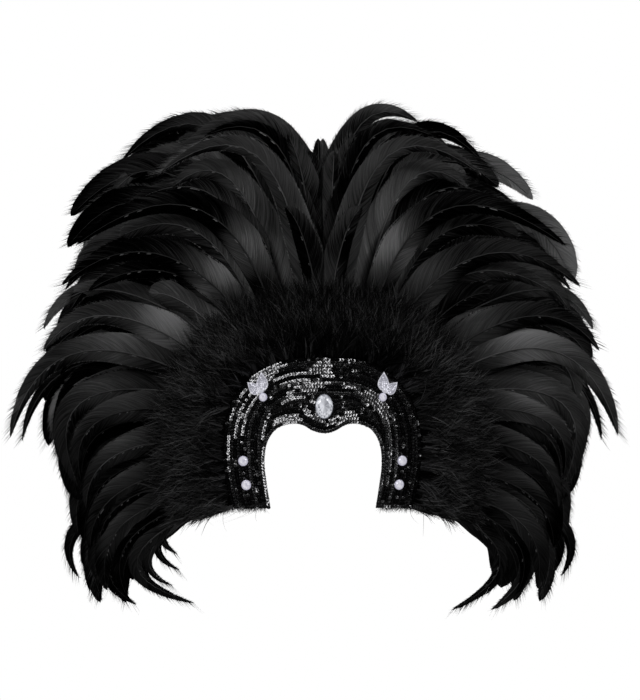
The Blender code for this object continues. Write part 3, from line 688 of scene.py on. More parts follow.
def feather_shape(spec):
    """The length of one feather on the right side of the fan, and a function that places points over it."""
    root = flat_point(spec["station"], 1.0, strip_start(spec["row"]) + 0.3 * STRIP_WIDTH)
    crest = np.array((spec["crest_across"], spec["crest_up"])) * FAN_RADIUS
    tip = np.array((spec["tip_across"], spec["tip_up"])) * FAN_RADIUS
    control = 2 * crest - (root + tip) / 2
    fine = np.linspace(0.0, 1.0, 41)[:, None]
    arc = walked_along((1 - fine) ** 2 * root + 2 * (1 - fine) * fine * control + fine**2 * tip)
    wide = 0.5 * FEATHER_WIDTH * spec["width"]
    base = row_height(spec["row"]) - spec.get("sink", 0.0)

    def place(share, across, rise):
        """Points over the vane: a share of the quill's length, a distance across it and a rise in front."""
        share, across = np.broadcast_arrays(share, across)
        at = (np.interp(share * arc[-1], arc, fine[:, 0]) + np.maximum(share - 1.0, 0.0))[..., None]
        middle = (1 - at) ** 2 * root + 2 * (1 - at) * at * control + at**2 * tip
        run = unit((control - root) * (1 - at) + (tip - control) * at)
        flat = middle + square_to(run) * across[..., None]
        flat[..., 0] = np.maximum(flat[..., 0], MIDDLE_GAP)
        reach = across / wide
        wave = 0.0016 * np.sin(2 * np.pi * spec["waves"] * share + spec["phase"])
        height = base + ROW_SPREAD[spec["row"]] * past_board(middle) + (FEATHER_TILT + spec["lean"]) * across
        height = height + (wave - CAMBER * wide) * reach**2 + spec["tip_lift"] * share**3
        return raised(flat, height + rise)

    return arc[-1], place


def vane_parts(spec, length, place, direction, full, rng):
    """One vane: locks of barbs that hold together, with narrow splits between them, looser at the tip."""
    rows = max(24, int(length / LOCK_PITCH))
    ends = np.linspace(0.015, 1.0, rows)
    loose = looseness(ends, 0.55, 0.8 * spec["blunt"])
    half = full * vane_width(ends, spec["blunt"])
    feet = np.minimum(ends - BARB_SLANT * half / length, 0.99)
    open_split = 1.1 if spec["row"] in ("front", "middle") else 0.45
    # Painted shade: the barbs darken towards the vane's edge, less so near the middle of the fan.
    painted_edge_shade = 0.16 if spec["station"] > 0.1 else 0.06
    parts = []
    first = 0
    while first < rows - 1:
        last = min(rows - 1, first + int(rng.integers(3, 11) * (1.0 - 0.5 * loose[first])) + 1)
        lock = slice(first, last + 1)
        foot, end, wide = feet[lock, None], ends[lock, None], half[lock, None]
        free = loose[lock].mean()
        pull = SPLIT_WIDTH * (open_split * rng.uniform(0.0, 1.0) ** 4 - 0.45) * (1.0 + 1.2 * free)
        turn = np.linspace(1.0, -1.0, len(foot))[:, None] * pull / length
        reached = BARB_SHARES * (1.0 - abs(0.03 * rng.normal()) - abs(0.12 * free * rng.normal()))
        share = np.maximum(foot + (end - foot) * reached + turn * BARB_SHARES**2, 0.0)
        across = direction * wide * (1.0 - (1.0 - reached) ** 1.5)
        rise = 0.0003 * rng.normal() * BARB_SHARES + 0.0016 * free * rng.normal() * BARB_SHARES**2
        # A painted sheen: a lighter patch over the vane around one share of the quill's length, near its
        # foot.
        gleam = np.exp(-(((share - spec["gleam_at"]) / spec["gleam_reach"]) ** 2)) * (0.6 + 0.4 * BARB_SHARES)
        # The barbs' shade: the feather's tone with a little at random, less the painted shade towards the
        # edge.
        shade = spec["tone"] + 0.025 * rng.normal() - painted_edge_shade * BARB_SHARES**1.5
        # Painted shade and sheen that rise and fall along the vane in step with its ripples.
        roll = 2 * np.pi * spec["waves"] * share + spec["phase"] + 1.2 * BARB_SHARES
        shade = shade + spec["painted_ripple_shade"] * np.sin(roll)
        shade = shade + spec["gleam"] * spec["painted_light_strength"] * gleam
        # Painted shade on the lower vane, which lies under its neighbour's upper vane, with a painted shadow
        # line under the quill. A painted highlight lightens the upper vane towards its edge, and the lower
        # vane of the feathers at the legs' ends.
        if direction < 0 and spec["station"] < 0.93:
            shade = shade - 0.12 * (BARB_SHARES < 0.1) - 0.08
        else:
            shade = shade + 0.14 * BARB_SHARES**2
        faces = grid_faces(len(foot), len(BARB_SHARES))
        grain = streak_place(spec, foot * length, np.abs(across))
        parts.append((place(share, across, rise), faces, dyed(shade, spec["pale"], share), grain))
        first = last
    return parts


def fringe_part(spec, length, place, direction, full, rng):
    """The loose barb ends along the edge of one vane, each a thin three-cornered hair."""
    hairs = int(length / FRINGE_PITCH)
    ends = np.sort(rng.uniform(0.04, 1.0, hairs))
    freed = looseness(ends, 0.5, 0.7 * spec["blunt"])
    edge = full * vane_width(ends, spec["blunt"])
    long = FRINGE_LENGTH * rng.uniform(0.2, 1.3, hairs) * (0.6 + 0.4 * direction) * (0.35 + 2.4 * freed)
    foot = ends - HAIR_OVERLAP / length
    foot_edge = np.maximum(0.94 * edge - HAIR_HALF_WIDTH, 0.0)
    share = np.stack([
        foot - HAIR_HALF_WIDTH / length,
        foot + HAIR_HALF_WIDTH / length,
        ends + (0.88 * long + rng.normal(0.0, 0.0006, hairs)) / length,
    ], axis=-1)
    across = direction * np.stack([foot_edge, foot_edge, edge + 0.50 * long], axis=-1)
    lift = rng.normal(0.0, 0.0005, hairs) + 0.002 * freed * rng.normal(size=hairs)
    points = place(np.maximum(share, 0.0), across, lift[:, None] * np.array((0.0, 0.0, 1.0)))
    shade = dyed(spec["tone"] + spec["fringe_tone"] + 0.08 * rng.normal(size=hairs), spec["pale"], ends)
    grain = streak_place(spec, ends * length, 0.0)
    return points, np.arange(3 * hairs).reshape(-1, 3), np.repeat(shade, 3), np.repeat(grain, 3, axis=0)


def painted_glint_part(spec, place, rng):
    """Painted glints beside the quill: short light strips, brightest in the two front rows."""
    painted_glint_count = rng.integers(4, 13)
    at = np.sort(rng.uniform(0.30, 0.80, painted_glint_count))
    share = at[:, None] + np.array((0.0, 0.004, 0.016, 0.012)) * rng.uniform(0.5, 1.6, painted_glint_count)[:, None]
    points = place(share, -np.array((0.0010, 0.0022, 0.0026, 0.0012)), 0.0008)
    shade = spec["tone"] + 0.1 + np.zeros(painted_glint_count)
    if spec["row"] in ("front", "middle"):
        shade = rng.uniform(0.45, 0.80, painted_glint_count)
    return points, np.arange(4 * painted_glint_count).reshape(-1, 4), np.repeat(shade, 4), np.zeros((4 * painted_glint_count, 3))


def quill_part(spec, place):
    """The quill: a four-sided taper that stands on the vanes' seam."""
    at = np.linspace(0.0, 0.975, 19)[:, None]
    radius = QUILL_RADIUS * (1.0 - at) ** 0.7 + 0.00014
    corner = np.array((0.0, 0.4, 1.0, 1.6)) * np.pi
    points = place(at, radius * np.cos(corner), 0.0005 + radius * np.sin(corner))
    # A painted highlight: the quill is lighter than its vanes by a fixed step, and paler still with a pale
    # dye.
    shade = spec["tone"] + 0.30 + 0.3 * spec["pale"]
    return points, grid_faces(len(at), 4, closed=True), shade, np.zeros((points.size // 3, 3))


def feather_parts(spec, rng):
    """One feather of the right side, with its own lean, waves, dye, painted ripple shade and painted sheen.
    """
    spec = spec | {
        "lean": rng.normal(0.0, 0.04),
        "tip_lift": rng.normal(0.0, 0.003),
        "waves": rng.uniform(1.0, 2.6),
        "phase": rng.uniform(0.0, 2 * np.pi),
        "number": rng.uniform(0.0, 500.0),
        # How strongly the painted shade follows the ripples
        "painted_ripple_shade": rng.uniform(0.02, 0.08),
        "fringe_tone": rng.choice(FRINGE_TONES),
        # How strong the painted sheen is
        "painted_light_strength": rng.uniform(0.5, 1.6),
    }
    length, place = feather_shape(spec)
    parts = []
    for direction, vane in ((1.0, UPPER_VANE), (-1.0, LOWER_VANE)):
        full = FEATHER_WIDTH * spec["width"] * vane
        parts += vane_parts(spec, length, place, direction, full, rng)
        parts.append(fringe_part(spec, length, place, direction, full, rng))
    return parts + [painted_glint_part(spec, place, rng), quill_part(spec, place)]


# Feathers between each two main ones of a row: at which share, how far they reach and how deep they lie
FILLS = {"rear": ((0.3, 0.95, 0.0), (0.7, 0.92, 0.001)), "back": ((0.5, 0.95, 0.0022),)}


def row_specs(row, side, rng):
    """The feathers of one row and side, with shorter ones between those of the two back rows."""
    plain = {"row": row, "blunt": 0.0, "pale": 0.0, "gleam": 0.0}
    lines = FEATHER_TABLE["back" if row == "rear" else row]
    table = [plain | dict(zip(FEATHER_COLUMNS, line)) for line in lines]
    main = [spec for spec in table if spec["side"] in (side, "both")]
    specs = [] if row == "rear" else list(main)
    for one, other in zip(main, main[1:]):
        for share, reach, sink in FILLS.get(row, ()):
            mean = {key: one[key] * (1 - share) + other[key] * share for key in FEATHER_COLUMNS[1:]}
            for key in ("crest_across", "crest_up", "tip_across", "tip_up"):
                mean[key] = mean[key] * reach + rng.normal(0.0, 0.012)
            mean |= {"row": row, "sink": sink, "width": 1.15 if row == "rear" else 1.0, "pale": 0.0}
            mean["blunt"] = rng.choice((0.0, 0.3, 0.7))
            specs.append(mean)
    for spec in specs:
        low = float(np.clip((spec["station"] - 0.45) / 0.2, 0.0, 1.0))
        spec["tone"] = MEAN_TONE + TONE_SPREAD * rng.normal() + SIDE_TONE[side]
        # The painted sheen is stronger, further along the quill and longer on the feathers low down.
        spec["gleam"] = spec["gleam"] + 0.20 * low
        spec["gleam_at"] = 0.34 + 0.18 * low
        spec["gleam_reach"] = 0.10 + 0.08 * low
        if spec["station"] < 0.012 and row != "back":
            spec["sink"] = MIDDLE_SINK
    return specs


def strip_part(row, first, last):
    """The cotton tape that a row's quills are sewn into."""
    near = strip_start(row)
    far = near + STRIP_WIDTH
    top = row_height(row) + STRIP_COVER
    section = [(1.0, near, SEAT_GAP), (1.0, far, SEAT_GAP), (1.0, far, top), (1.0, near, top)]
    points = swept(np.linspace(first, last, 80), section)
    return points, grid_faces(80, 4, closed=True), TAPE_TONE, np.zeros((points.size // 3, 3))


feather_dye_and_painted_light = feather_finish()
for order, row in enumerate(ROW_SPREAD):
    for side in ("left", "right"):
        rng = np.random.default_rng(100 + 10 * order + (side == "left"))
        parts = []
        for spec in row_specs(row, side, rng):
            parts += feather_parts(spec, rng)
        if side == "left":
            mirror = np.array((-1.0, 1.0, 1.0))
            parts = [(points * mirror, faces[:, ::-1], shade, grain) for points, faces, shade, grain in parts]
            parts.append(strip_part(row, -STRIP_END, -0.02))
        else:
            parts.append(strip_part(row, 0.02, STRIP_END))
        plumes = make_piece(f"{row}_plumes_{side}", parts, feather_dye_and_painted_light)
        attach(plumes, "root")
        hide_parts(f"{row}_feathers_{side}")


# The fluff collar: a thick roll of short dyed down sewn on over the feathers' feet. Its strands stream
# outwards from the band in soft tufts, and a few stray wisps hang from its lower ends.
FLUFF_FOOT_WIDTH = 0.014
FLUFF_WIDTH = 0.080
FLUFF_HEIGHT = 0.024
BLADE_GAP = 0.0010
STAGGER = 0.0005
TUFT_COUNT = 1700
STRANDS_IN_TUFT = 15
STRAND_WIDTH = 0.0011
STRAND_LENGTH = 0.040
TUFT_TURN = 0.24
STRAND_TURN = 0.07
STRAND_BEND = 0.25
ROLL_REACH = 0.060
STRAND_STEPS = np.array((0.0, 0.35, 0.7, 1.0))
STRAND_TAPER = np.array((0.9, 1.0, 0.7, 0.12))
WISP_COUNT = 1600
WISP_STEPS = np.linspace(0.0, 1.0, 7)
WISP_WIDTH = 0.00056

# The roll's front from the band outwards: shares of the fluff's width and height
ROLL_OUT = (0.0, 0.16, 0.42, 0.70, 0.86, 1.20)
ROLL_UP = (-0.85, -0.10, 0.72, 0.62, 0.30, 0.12)


def fluff_finish():
    """Soft black down: matt, with a faint sheen on the lighter strands."""
    made, shader, add, link = new_finish("black_down", Roughness=0.55)
    strand = add("Attribute", attribute_name="shade")
    dye_and_painted_light = ramp(add, (0.002, 0.002, 0.002), (0.090, 0.090, 0.093))
    gloss = change(add, 0.03, 0.5, 0.0, 0.8)
    link(strand, "Fac", dye_and_painted_light, "Fac")
    link(strand, "Fac", gloss, "Value")
    link(dye_and_painted_light, "Color", shader, "Base Color")
    link(gloss, "Result", shader, "Specular IOR Level")
    return made


fluff_base = row_height("front") + 0.5 * FEATHER_TILT * FEATHER_WIDTH + STAGGER + BLADE_GAP


def roll_height(beyond):
    """The height of the fluff's roll at a distance past the band."""
    return fluff_base + FLUFF_HEIGHT * np.interp(beyond / FLUFF_WIDTH, ROLL_OUT, ROLL_UP)


def ribbon_part(line, half_way, shade):
    """Flat ribbons along many lines, each with its half width at every point and one shade."""
    count, steps = line.shape[:2]
    points = np.stack([line - half_way, line + half_way], axis=2)
    return points, copied(grid_faces(steps, 2), count, 2 * steps), np.repeat(shade, 2 * steps)


# The roll under the strands: its front keeps close below them, and its back lies on the front row's feathers
rng = np.random.default_rng(7)
roll_out = np.array((0.003, 0.010, 0.022, 0.036, 0.050, 0.060, 0.062, 0.050, 0.020, FLUFF_FOOT_WIDTH, 0.006))
roll_up = [*(roll_height(roll_out[:5]) - 0.006), fluff_base + 0.003, *[fluff_base] * 3, SEAT_GAP, SEAT_GAP]
roll_points = swept(np.linspace(-1.0, 1.0, 161), [(1.0, *place) for place in zip(roll_out, roll_up)])
fluff_parts = [(roll_points, grid_faces(161, len(roll_out), closed=True), 0.02)]
for ring in (roll_points[0], roll_points[-1]):
    fluff_parts.append((ring, one_face(len(roll_out)), 0.02))

# The strands stand in tufts that share a place, a turn, a tone and a reach. At the roll's ends they lie level
tuft = np.repeat(np.arange(TUFT_COUNT), STRANDS_IN_TUFT)
strands = len(tuft)
tuft_station = np.sort(rng.uniform(-1.0, 1.0, TUFT_COUNT))
tuft_out = rng.uniform(0.0, ROLL_REACH, TUFT_COUNT)
tuft_turn = rng.normal(0.0, TUFT_TURN, TUFT_COUNT)
tuft_tone = rng.normal(0.0, 1.0, TUFT_COUNT)
tuft_reach = STRAND_LENGTH * rng.uniform(0.75, 1.25, TUFT_COUNT)
station = np.clip(tuft_station[tuft] + rng.normal(0.0, 0.006, strands), -1.0, 1.0)
out = np.clip(tuft_out[tuft] + rng.normal(0.0, 0.003, strands), 0.0, 0.064)
turn = tuft_turn[tuft] + rng.normal(0.0, STRAND_TURN, strands)
reach_out = tuft_reach[tuft] * rng.uniform(0.7, 1.15, strands)
near_end = np.clip((np.abs(station) - 0.90) / 0.10, 0.0, 1.0)
turn = (turn * (1.0 - 0.5 * near_end) + np.sign(station) * 0.05 * near_end)[:, None]
steps = (reach_out * (1.0 - 0.25 * near_end))[:, None] * STRAND_STEPS
away = away_from("outer", station)
heading = away * np.cos(turn) + square_to(away) * np.sin(turn)
bend = rng.normal(0.0, STRAND_BEND, strands) + 0.3 * STRAND_BEND * tuft_tone[tuft]
bent = bend[:, None] * steps * STRAND_STEPS
flat = (
    flat_point(station, 1.0, out)[:, None]
    + heading[:, None] * steps[..., None]
    + square_to(heading)[:, None] * bent[..., None]
)
lift = 0.010 * STRAND_STEPS * rng.uniform(0.2, 1.0, strands)[:, None]
rise = roll_height(out[:, None] + steps) - 0.004 + lift
line = raised(flat, rise + ROW_SPREAD["front"] * past_board(flat))
run = unit(np.gradient(line, axis=1))
roll = rng.uniform(-1.1, 1.1, strands)[:, None, None]
facing = unit(np.cross(run, (0.0, -1.0, 0.0)))
width_way = facing * np.cos(roll) + np.cross(facing, run) * np.sin(roll)
# Painted shade over the top of the collar: its strands are darker towards the middle, and those on the legs a
# little lighter.
painted_top_shade = 0.38 + 0.80 * np.clip((np.abs(station) - 0.25) / 0.30, 0.0, 1.0)
shade = np.clip(0.155 * painted_top_shade * np.exp(0.95 * tuft_tone[tuft] + 0.75 * rng.normal(size=strands)), 0.0, 1.0)
fluff_parts.append(ribbon_part(line, width_way * (0.5 * STRAND_WIDTH * STRAND_TAPER)[:, None], shade))

# Fuzz and a few long curled wisps, which hang out below the ends of the band and of the roll
end_side = np.where(rng.random(WISP_COUNT) < 0.5, -1.0, 1.0)
on_band = rng.uniform(0.15, 1.0, WISP_COUNT)
on_roll = np.where(rng.random(WISP_COUNT) < 0.55, rng.uniform(0.0, 0.055, WISP_COUNT), 0.0)
few = rng.random(WISP_COUNT) < 0.012
drop = np.where(few, rng.uniform(0.020, 0.036, WISP_COUNT), rng.uniform(0.002, 0.009, WISP_COUNT))[:, None]
lean = (end_side * rng.normal(0.35, 0.45, WISP_COUNT))[:, None]
curl = rng.normal(0.0, 0.7, WISP_COUNT)[:, None]
hung = np.stack([
    drop * (lean * WISP_STEPS + curl * WISP_STEPS**2),
    -drop * WISP_STEPS * (1.0 - 0.25 * np.abs(curl) * WISP_STEPS) + 0.004 * (1 - WISP_STEPS),
], axis=-1)
hung = flat_point(end_side * 0.995, np.where(on_roll > 0, 1.0, on_band), on_roll)[:, None] + hung
rise = np.where(on_roll > 0, rng.uniform(0.004, 0.030, WISP_COUNT), rng.uniform(-0.004, -0.002, WISP_COUNT))
half_way = (0.5 * WISP_WIDTH * (1.0 - 0.8 * WISP_STEPS))[:, None] * np.array((1.0, 0.0, 0.0))
fluff_parts.append(ribbon_part(raised(hung, rise[:, None]), half_way, rng.uniform(0.1, 0.9, WISP_COUNT)))
collar = make_piece("fluff_collar_down", fluff_parts, fluff_finish())
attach(collar, "root")
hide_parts("fluff_collar")


# The band: a 3 mm cloth horseshoe with a widow's peak, covered in strands of 5 mm black cup sequins. Twelve
# strands follow its outer edge from leg to leg, and shorter ones fill the middle along the inner edge.
BAND_THICKNESS = 0.003
SEQUIN_RADIUS = 0.0025
SEQUIN_HOLE = 0.00085
SEQUIN_CUP = 0.00035
SEQUIN_PITCH = 0.0036
STRAND_PITCH = 0.0043
OUTER_STRANDS = 12
INNER_STRANDS = 12
SEQUIN_SIDES = 10
BAND_FACE = 2 * SEAT_GAP + BAND_THICKNESS
END_ROW_COUNT = 13
LIT_FACING = (-0.17, -0.97, 0.18)
DULL_FACING = (0.06, -0.97, -0.22)
LIT_SPREAD = 0.035
DULL_SPREAD = 0.10
STRAY_SPREAD = 0.50
STRAY_SHARE = 0.14
SEWING_SLACK = 0.00018

# Runs of sequins that lie turned to the light: which family and strands, and from which station to which
# The sequins of these runs also get a paler film: a painted highlight.
RUN_COLUMNS = ("family", "first_strand", "last_strand", "start", "end", "share")
RUN_TABLE = (
    ("outer", 0, 1, -0.50, -0.20, 0.96),
    ("outer", 2, 2, -0.46, -0.24, 0.85),
    ("outer", 0, 3, -0.07, 0.07, 0.96),
    ("outer", 0, 1, 0.07, 0.24, 0.35),
    ("outer", 4, 4, -0.36, 0.02, 0.96),
    ("outer", 5, 5, -0.02, 0.10, 0.96),
    ("outer", 1, 1, -0.85, -0.52, 0.85),
    ("outer", 3, 3, -0.78, -0.42, 0.90),
    ("outer", 5, 5, -0.68, -0.40, 0.85),
    ("outer", 6, 6, -0.30, -0.02, 0.90),
    ("outer", 7, 9, -0.30, -0.02, 0.80),
    ("outer", 10, 11, -0.34, 0.00, 0.55),
    ("outer", 11, 11, -0.34, -0.06, 0.92),
    ("outer", 6, 8, 0.05, 0.30, 0.45),
    ("outer", 7, 7, 0.22, 0.60, 0.55),
    ("outer", 8, 8, 0.25, 0.62, 0.82),
    ("outer", 9, 9, 0.25, 0.92, 0.92),
    ("outer", 10, 10, 0.28, 0.60, 0.90),
    ("outer", 11, 11, 0.30, 0.58, 0.60),
    ("outer", 7, 7, 0.60, 0.92, 0.70),
    ("outer", 5, 5, 0.62, 0.95, 0.20),
    ("outer", 11, 11, -0.95, -0.62, 0.70),
    ("outer", 10, 10, -0.70, -0.56, 0.30),
    ("inner", 0, 2, -0.45, -0.22, 0.92),
    ("inner", 0, 0, -0.98, -0.62, 0.75),
    ("inner", 0, 0, 0.45, 0.95, 0.25),
    ("inner", 3, 5, -0.24, 0.00, 0.65),
    ("inner", 2, 3, 0.02, 0.30, 0.88),
    ("inner", 5, 9, -0.20, 0.15, 0.60),
    ("inner", 0, 1, 0.20, 0.42, 0.50),
)


def sequin_finish():
    """Glossy black plastic with a gunmetal film, mirroring lamps or dark as it lies; lit ones are painted
    paler.
    """
    made, shader, add, link = new_finish("black_cup_sequin", Metallic=0.9)
    tone = add("Attribute", attribute_name="shade")
    film_and_painted_highlight = ramp(add, (0.006, 0.006, 0.0065), (0.42, 0.42, 0.43))
    polish = change(add, 0.0, 1.0, 0.24, 0.17)
    link(tone, "Fac", film_and_painted_highlight, "Fac")
    link(tone, "Fac", polish, "Value")
    link(film_and_painted_highlight, "Color", shader, "Base Color")
    link(polish, "Result", shader, "Roughness")
    return made


def cloth_finish():
    """Plain black woven cloth."""
    made, shader, add, link = new_finish("black_woven_cloth", Roughness=0.9)
    weave = grained(add, link, shader, 1600.0, 2.0, 0.4, 0.0003)
    tint = ramp(add, (0.004, 0.004, 0.004), (0.016, 0.016, 0.017))
    link(weave, "Fac", tint, "Fac")
    link(tint, "Color", shader, "Base Color")
    return made


band_shares = np.linspace(0.0, 1.0, 13)
band_section = [(share, 0.0, BAND_THICKNESS) for share in band_shares]
band_section += [(share, 0.0, SEAT_GAP) for share in reversed(band_shares)]
band_points = swept(board_stations, band_section)
band_faces = sheet_faces(len(board_stations), len(band_section))
band_cloth = make_piece("band_cloth", [(band_points, band_faces, 0.5)], cloth_finish())
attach(band_cloth, "root")
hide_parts("sequin_band")


def even_places(stations, line, pitch, lead):
    """Points at an even pitch along a line, from a lead on, with their stations and directions."""
    walked = walked_along(line)
    along = np.arange(lead * pitch, walked[-1], pitch)
    ahead, behind = (points_at(line, walked, along + step) for step in (0.001, -0.001))
    return points_at(line, walked, along), np.interp(along, walked, stations), ahead - behind


def nearest(points, line):
    """The distance of each point from a line's nearest point."""
    return np.min(np.linalg.norm(points[:, None] - line[None], axis=-1), axis=1)


# Where each sequin is sewn: its place and direction, whether it is turned to the light, and its strand's tone
rng = np.random.default_rng(21)
line_stations = np.linspace(-1.0, 1.0, 801)
outer_line = edge_point("outer", line_stations)
inner_line = edge_point("inner", line_stations)
runs = [dict(zip(RUN_COLUMNS, line)) for line in RUN_TABLE]
spots = []
for family, strand_count, inwards in (("outer", OUTER_STRANDS, -1.0), ("inner", INNER_STRANDS, 1.0)):
    for strand in range(strand_count):
        inset = (strand + 0.5) * STRAND_PITCH
        path = edge_point(family, line_stations) + away_from(family, line_stations) * inwards * inset
        points, at, run = even_places(line_stations, path, SEQUIN_PITCH, rng.uniform(0.1, 0.9))
        to_outer, to_inner = nearest(points, outer_line), nearest(points, inner_line)
        if family == "outer":
            keep = (to_outer > inset - 0.0008) & (to_inner > 1.25 * STRAND_PITCH)
        else:
            free = (OUTER_STRANDS + 0.35 if strand else 1.0) * STRAND_PITCH
            keep = (to_inner > inset - 0.0008) & (to_outer > free)
        lit_share = np.full(len(points), 0.02)
        for spec in runs:
            if spec["family"] == family and spec["first_strand"] <= strand <= spec["last_strand"]:
                start, end = np.array((spec["start"], spec["end"])) + rng.normal(0.0, 0.03, 2)
                lit_share = np.where((at > start) & (at < end), spec["share"], lit_share)
        strand_tone = rng.uniform(0.0, 0.5) ** 2 * 1.6
        drift = np.convolve(rng.normal(size=len(points) + 4), np.full(5, 0.447), "valid")
        drawn = 0.5 + 0.5 * np.tanh(0.8 * (drift + 0.35 * rng.normal(size=len(points))))
        lit = drawn < lit_share
        spots += [(*points[i], *run[i], lit[i], strand_tone) for i in np.flatnonzero(keep)]

for end in (-1.0, 1.0):
    from_edge, to_edge = edge_point("outer", end), edge_point("inner", end)
    for share in np.linspace(0.06, 0.94, END_ROW_COUNT):
        point = from_edge * (1 - share) + to_edge * share + np.array((0.0, 0.5 * STRAND_PITCH))
        spots.append((*point, end, 0.0, rng.random() < 0.4, 0.15))

# How each sequin lies: overlapping the next, but mostly turned as its run is, with some strays
spots = np.array(spots)
count = len(spots)
flat = spots[:, :2] + rng.normal(0.0, SEWING_SLACK, (count, 2))
along = unit(spots[:, 2:4])
runs_lit = spots[:, 4] > 0.5
slope_x, slope_z = dish_slopes(flat[:, 0], flat[:, 1])
normal = unit(np.stack([slope_x, -np.ones(count), slope_z], axis=-1))
along = unit(np.stack([along[:, 0], slope_x * along[:, 0] + slope_z * along[:, 1], along[:, 1]], axis=-1))
overlap = np.radians(rng.normal(13.0, 3.0, count))[:, None]
turned = normal * np.cos(overlap) - along * np.sin(overlap) * np.sign(spots[:, 0:1] + 1e-6)
target = np.where(runs_lit[:, None], LIT_FACING, DULL_FACING)
spread = np.where(runs_lit, LIT_SPREAD, np.where(rng.random(count) < STRAY_SHARE, STRAY_SPREAD, DULL_SPREAD))
turned = unit(0.2 * turned + 0.8 * target + rng.normal(0.0, 1.0, (count, 3)) * spread[:, None])
first_way = unit(np.cross(turned, (0.0, 0.0, 1.0)))
second_way = np.cross(turned, first_way)
spin = rng.uniform(0.0, 2 * np.pi, count)[:, None, None]
angle = 2 * np.pi * np.arange(SEQUIN_SIDES) / SEQUIN_SIDES + spin
radius = np.array((SEQUIN_HOLE, 0.50 * SEQUIN_RADIUS, 0.80 * SEQUIN_RADIUS, SEQUIN_RADIUS))[:, None]
depth = np.where(runs_lit, 0.25, 1.0)[:, None] * SEQUIN_CUP * np.array((0.0, 0.25, 0.8, 0.8))
depth = depth - np.array((0.0, 0.0, 0.0, SEQUIN_CUP))
sequins = (
    raised(flat, BAND_FACE)[:, None, None]
    + (radius * np.cos(angle))[..., None] * first_way[:, None, None]
    + (radius * np.sin(angle))[..., None] * second_way[:, None, None]
    + depth[:, :, None, None] * turned[:, None, None]
)
# The sequins turned to the light get a paler film, a painted highlight on top of their mirroring; the rest
# take their strand's tone.
tone = np.where(runs_lit, rng.uniform(0.68, 1.0, count), spots[:, 5] * rng.uniform(0.4, 1.0, count))
tone = np.repeat(np.where(spread == STRAY_SPREAD, rng.uniform(0.1, 0.9, count), tone), 4 * SEQUIN_SIDES)
sequin_faces = copied(grid_faces(4, SEQUIN_SIDES, closed=True), count, 4 * SEQUIN_SIDES)
sequin_sheet = make_piece("sequin_strands", [(sequins, sequin_faces, tone)], sequin_finish(), smooth=False)
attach(sequin_sheet, "root")


# The stones: one clear oval over the peak and six small round pale ones, each cut with a table, star and kite
# facets, foiled behind and glued on in a thin plain rim.
STONE_COLUMNS = ("name", "x", "z", "half_width", "half_height", "depth", "sides")
STONE_TABLE = (
    ("centre_stone", 0.0, -0.053, 0.0104, 0.0150, 0.0070, 16),
    ("side_stone_left_upper", -0.100, -0.122, 0.0056, 0.0056, 0.0040, 16),
    ("side_stone_right_upper", 0.100, -0.122, 0.0056, 0.0056, 0.0040, 16),
    ("side_stone_left_lower", -0.096, -0.1525, 0.0056, 0.0056, 0.0040, 16),
    ("side_stone_right_lower", 0.096, -0.1525, 0.0056, 0.0056, 0.0040, 16),
    ("leaf_stone_left", -0.0745, -0.0415, 0.0046, 0.0046, 0.0042, 14),
    ("leaf_stone_right", 0.0745, -0.0415, 0.0046, 0.0046, 0.0042, 14),
)
RIM_WIDTH = 0.0009
RIM_SHADE = 0.0


def stone_finish(name, dark, bright, painted_light_strength=0.62, **look):
    """A foiled stone or silver facets that glow with painted light; each facet's shade is a painted
    reflection.
    """
    made, shader, add, link = new_finish(name, Emission_Strength=painted_light_strength, **look)
    facet = add("Attribute", attribute_name="shade")
    painted_facet_light = ramp(add, dark, bright)
    link(facet, "Fac", painted_facet_light, "Fac")
    link(painted_facet_light, "Color", shader, "Base Color", "Emission Color")
    return made


def seat(x, z):
    """The place on the band's face at x, z, and its right, up and outward directions."""
    slope_x, slope_z = dish_slopes(x, z)
    out = unit(np.array((slope_x, -1.0, slope_z)))
    right = unit(np.array((1.0, slope_x, 0.0)))
    base = np.array((x, dish(x, z), z)) + out * BAND_FACE
    return base, right, np.cross(out, right), out


def stone_parts(spec, rng):
    """A stone with its rim: flat facets, each with its own points and shade."""
    sides = spec["sides"]
    base, right, up, out = seat(spec["x"], spec["z"])
    depth = spec["depth"]
    rings = (
        (1.0, RIM_WIDTH, 0.0, 0.0),
        (1.0, RIM_WIDTH, 0.30 * depth, 0.0),
        (1.0, 0.0, 0.42 * depth, 0.0),
        (0.82, 0.0, 0.78 * depth, 0.5),
        (0.58, 0.0, depth, 0.0),
    )
    points = []
    for share, grow, height, twist in rings:
        angle = 2 * np.pi * (np.arange(sides) + twist) / sides
        across = (spec["half_width"] * share + grow) * np.cos(angle)
        rise = (spec["half_height"] * share + grow) * np.sin(angle)
        points.append(base + across[:, None] * right + rise[:, None] * up + height * out)
    parts = []
    for level in range(len(rings) - 1):
        low, high = points[level], points[level + 1]
        twist = rings[level + 1][3] - rings[level][3]
        for side in range(sides):
            after = (side + 1) % sides
            if twist == 0.0:
                corners = [(low[side], low[after], high[after], high[side])]
            elif twist > 0:
                corners = [(low[side], low[after], high[side]), (low[after], high[after], high[side])]
            else:
                corners = [(low[side], high[after], high[side]), (low[side], low[after], high[after])]
            for corner in corners:
                # Each facet gets a random shade, a painted reflection; the two rim levels stay dark.
                shade = RIM_SHADE if level < 2 else rng.uniform(0.15, 1.0)
                parts.append((np.array(corner), one_face(len(corner)), shade))
    table = points[-1]
    middle = table.mean(axis=0)
    for side in range(sides):
        corner = np.array((table[side], table[(side + 1) % sides], middle))
        # The table's facets are painted lighter on one side and darker on the other: painted highlight and
        # shade.
        turned = 2 * np.pi * (side + 0.5) / sides
        tone = 0.55 - 0.35 * math.cos(turned - 0.4) + 0.12 * rng.normal()
        parts.append((corner, one_face(3), min(1.0, max(0.05, tone))))
    return parts


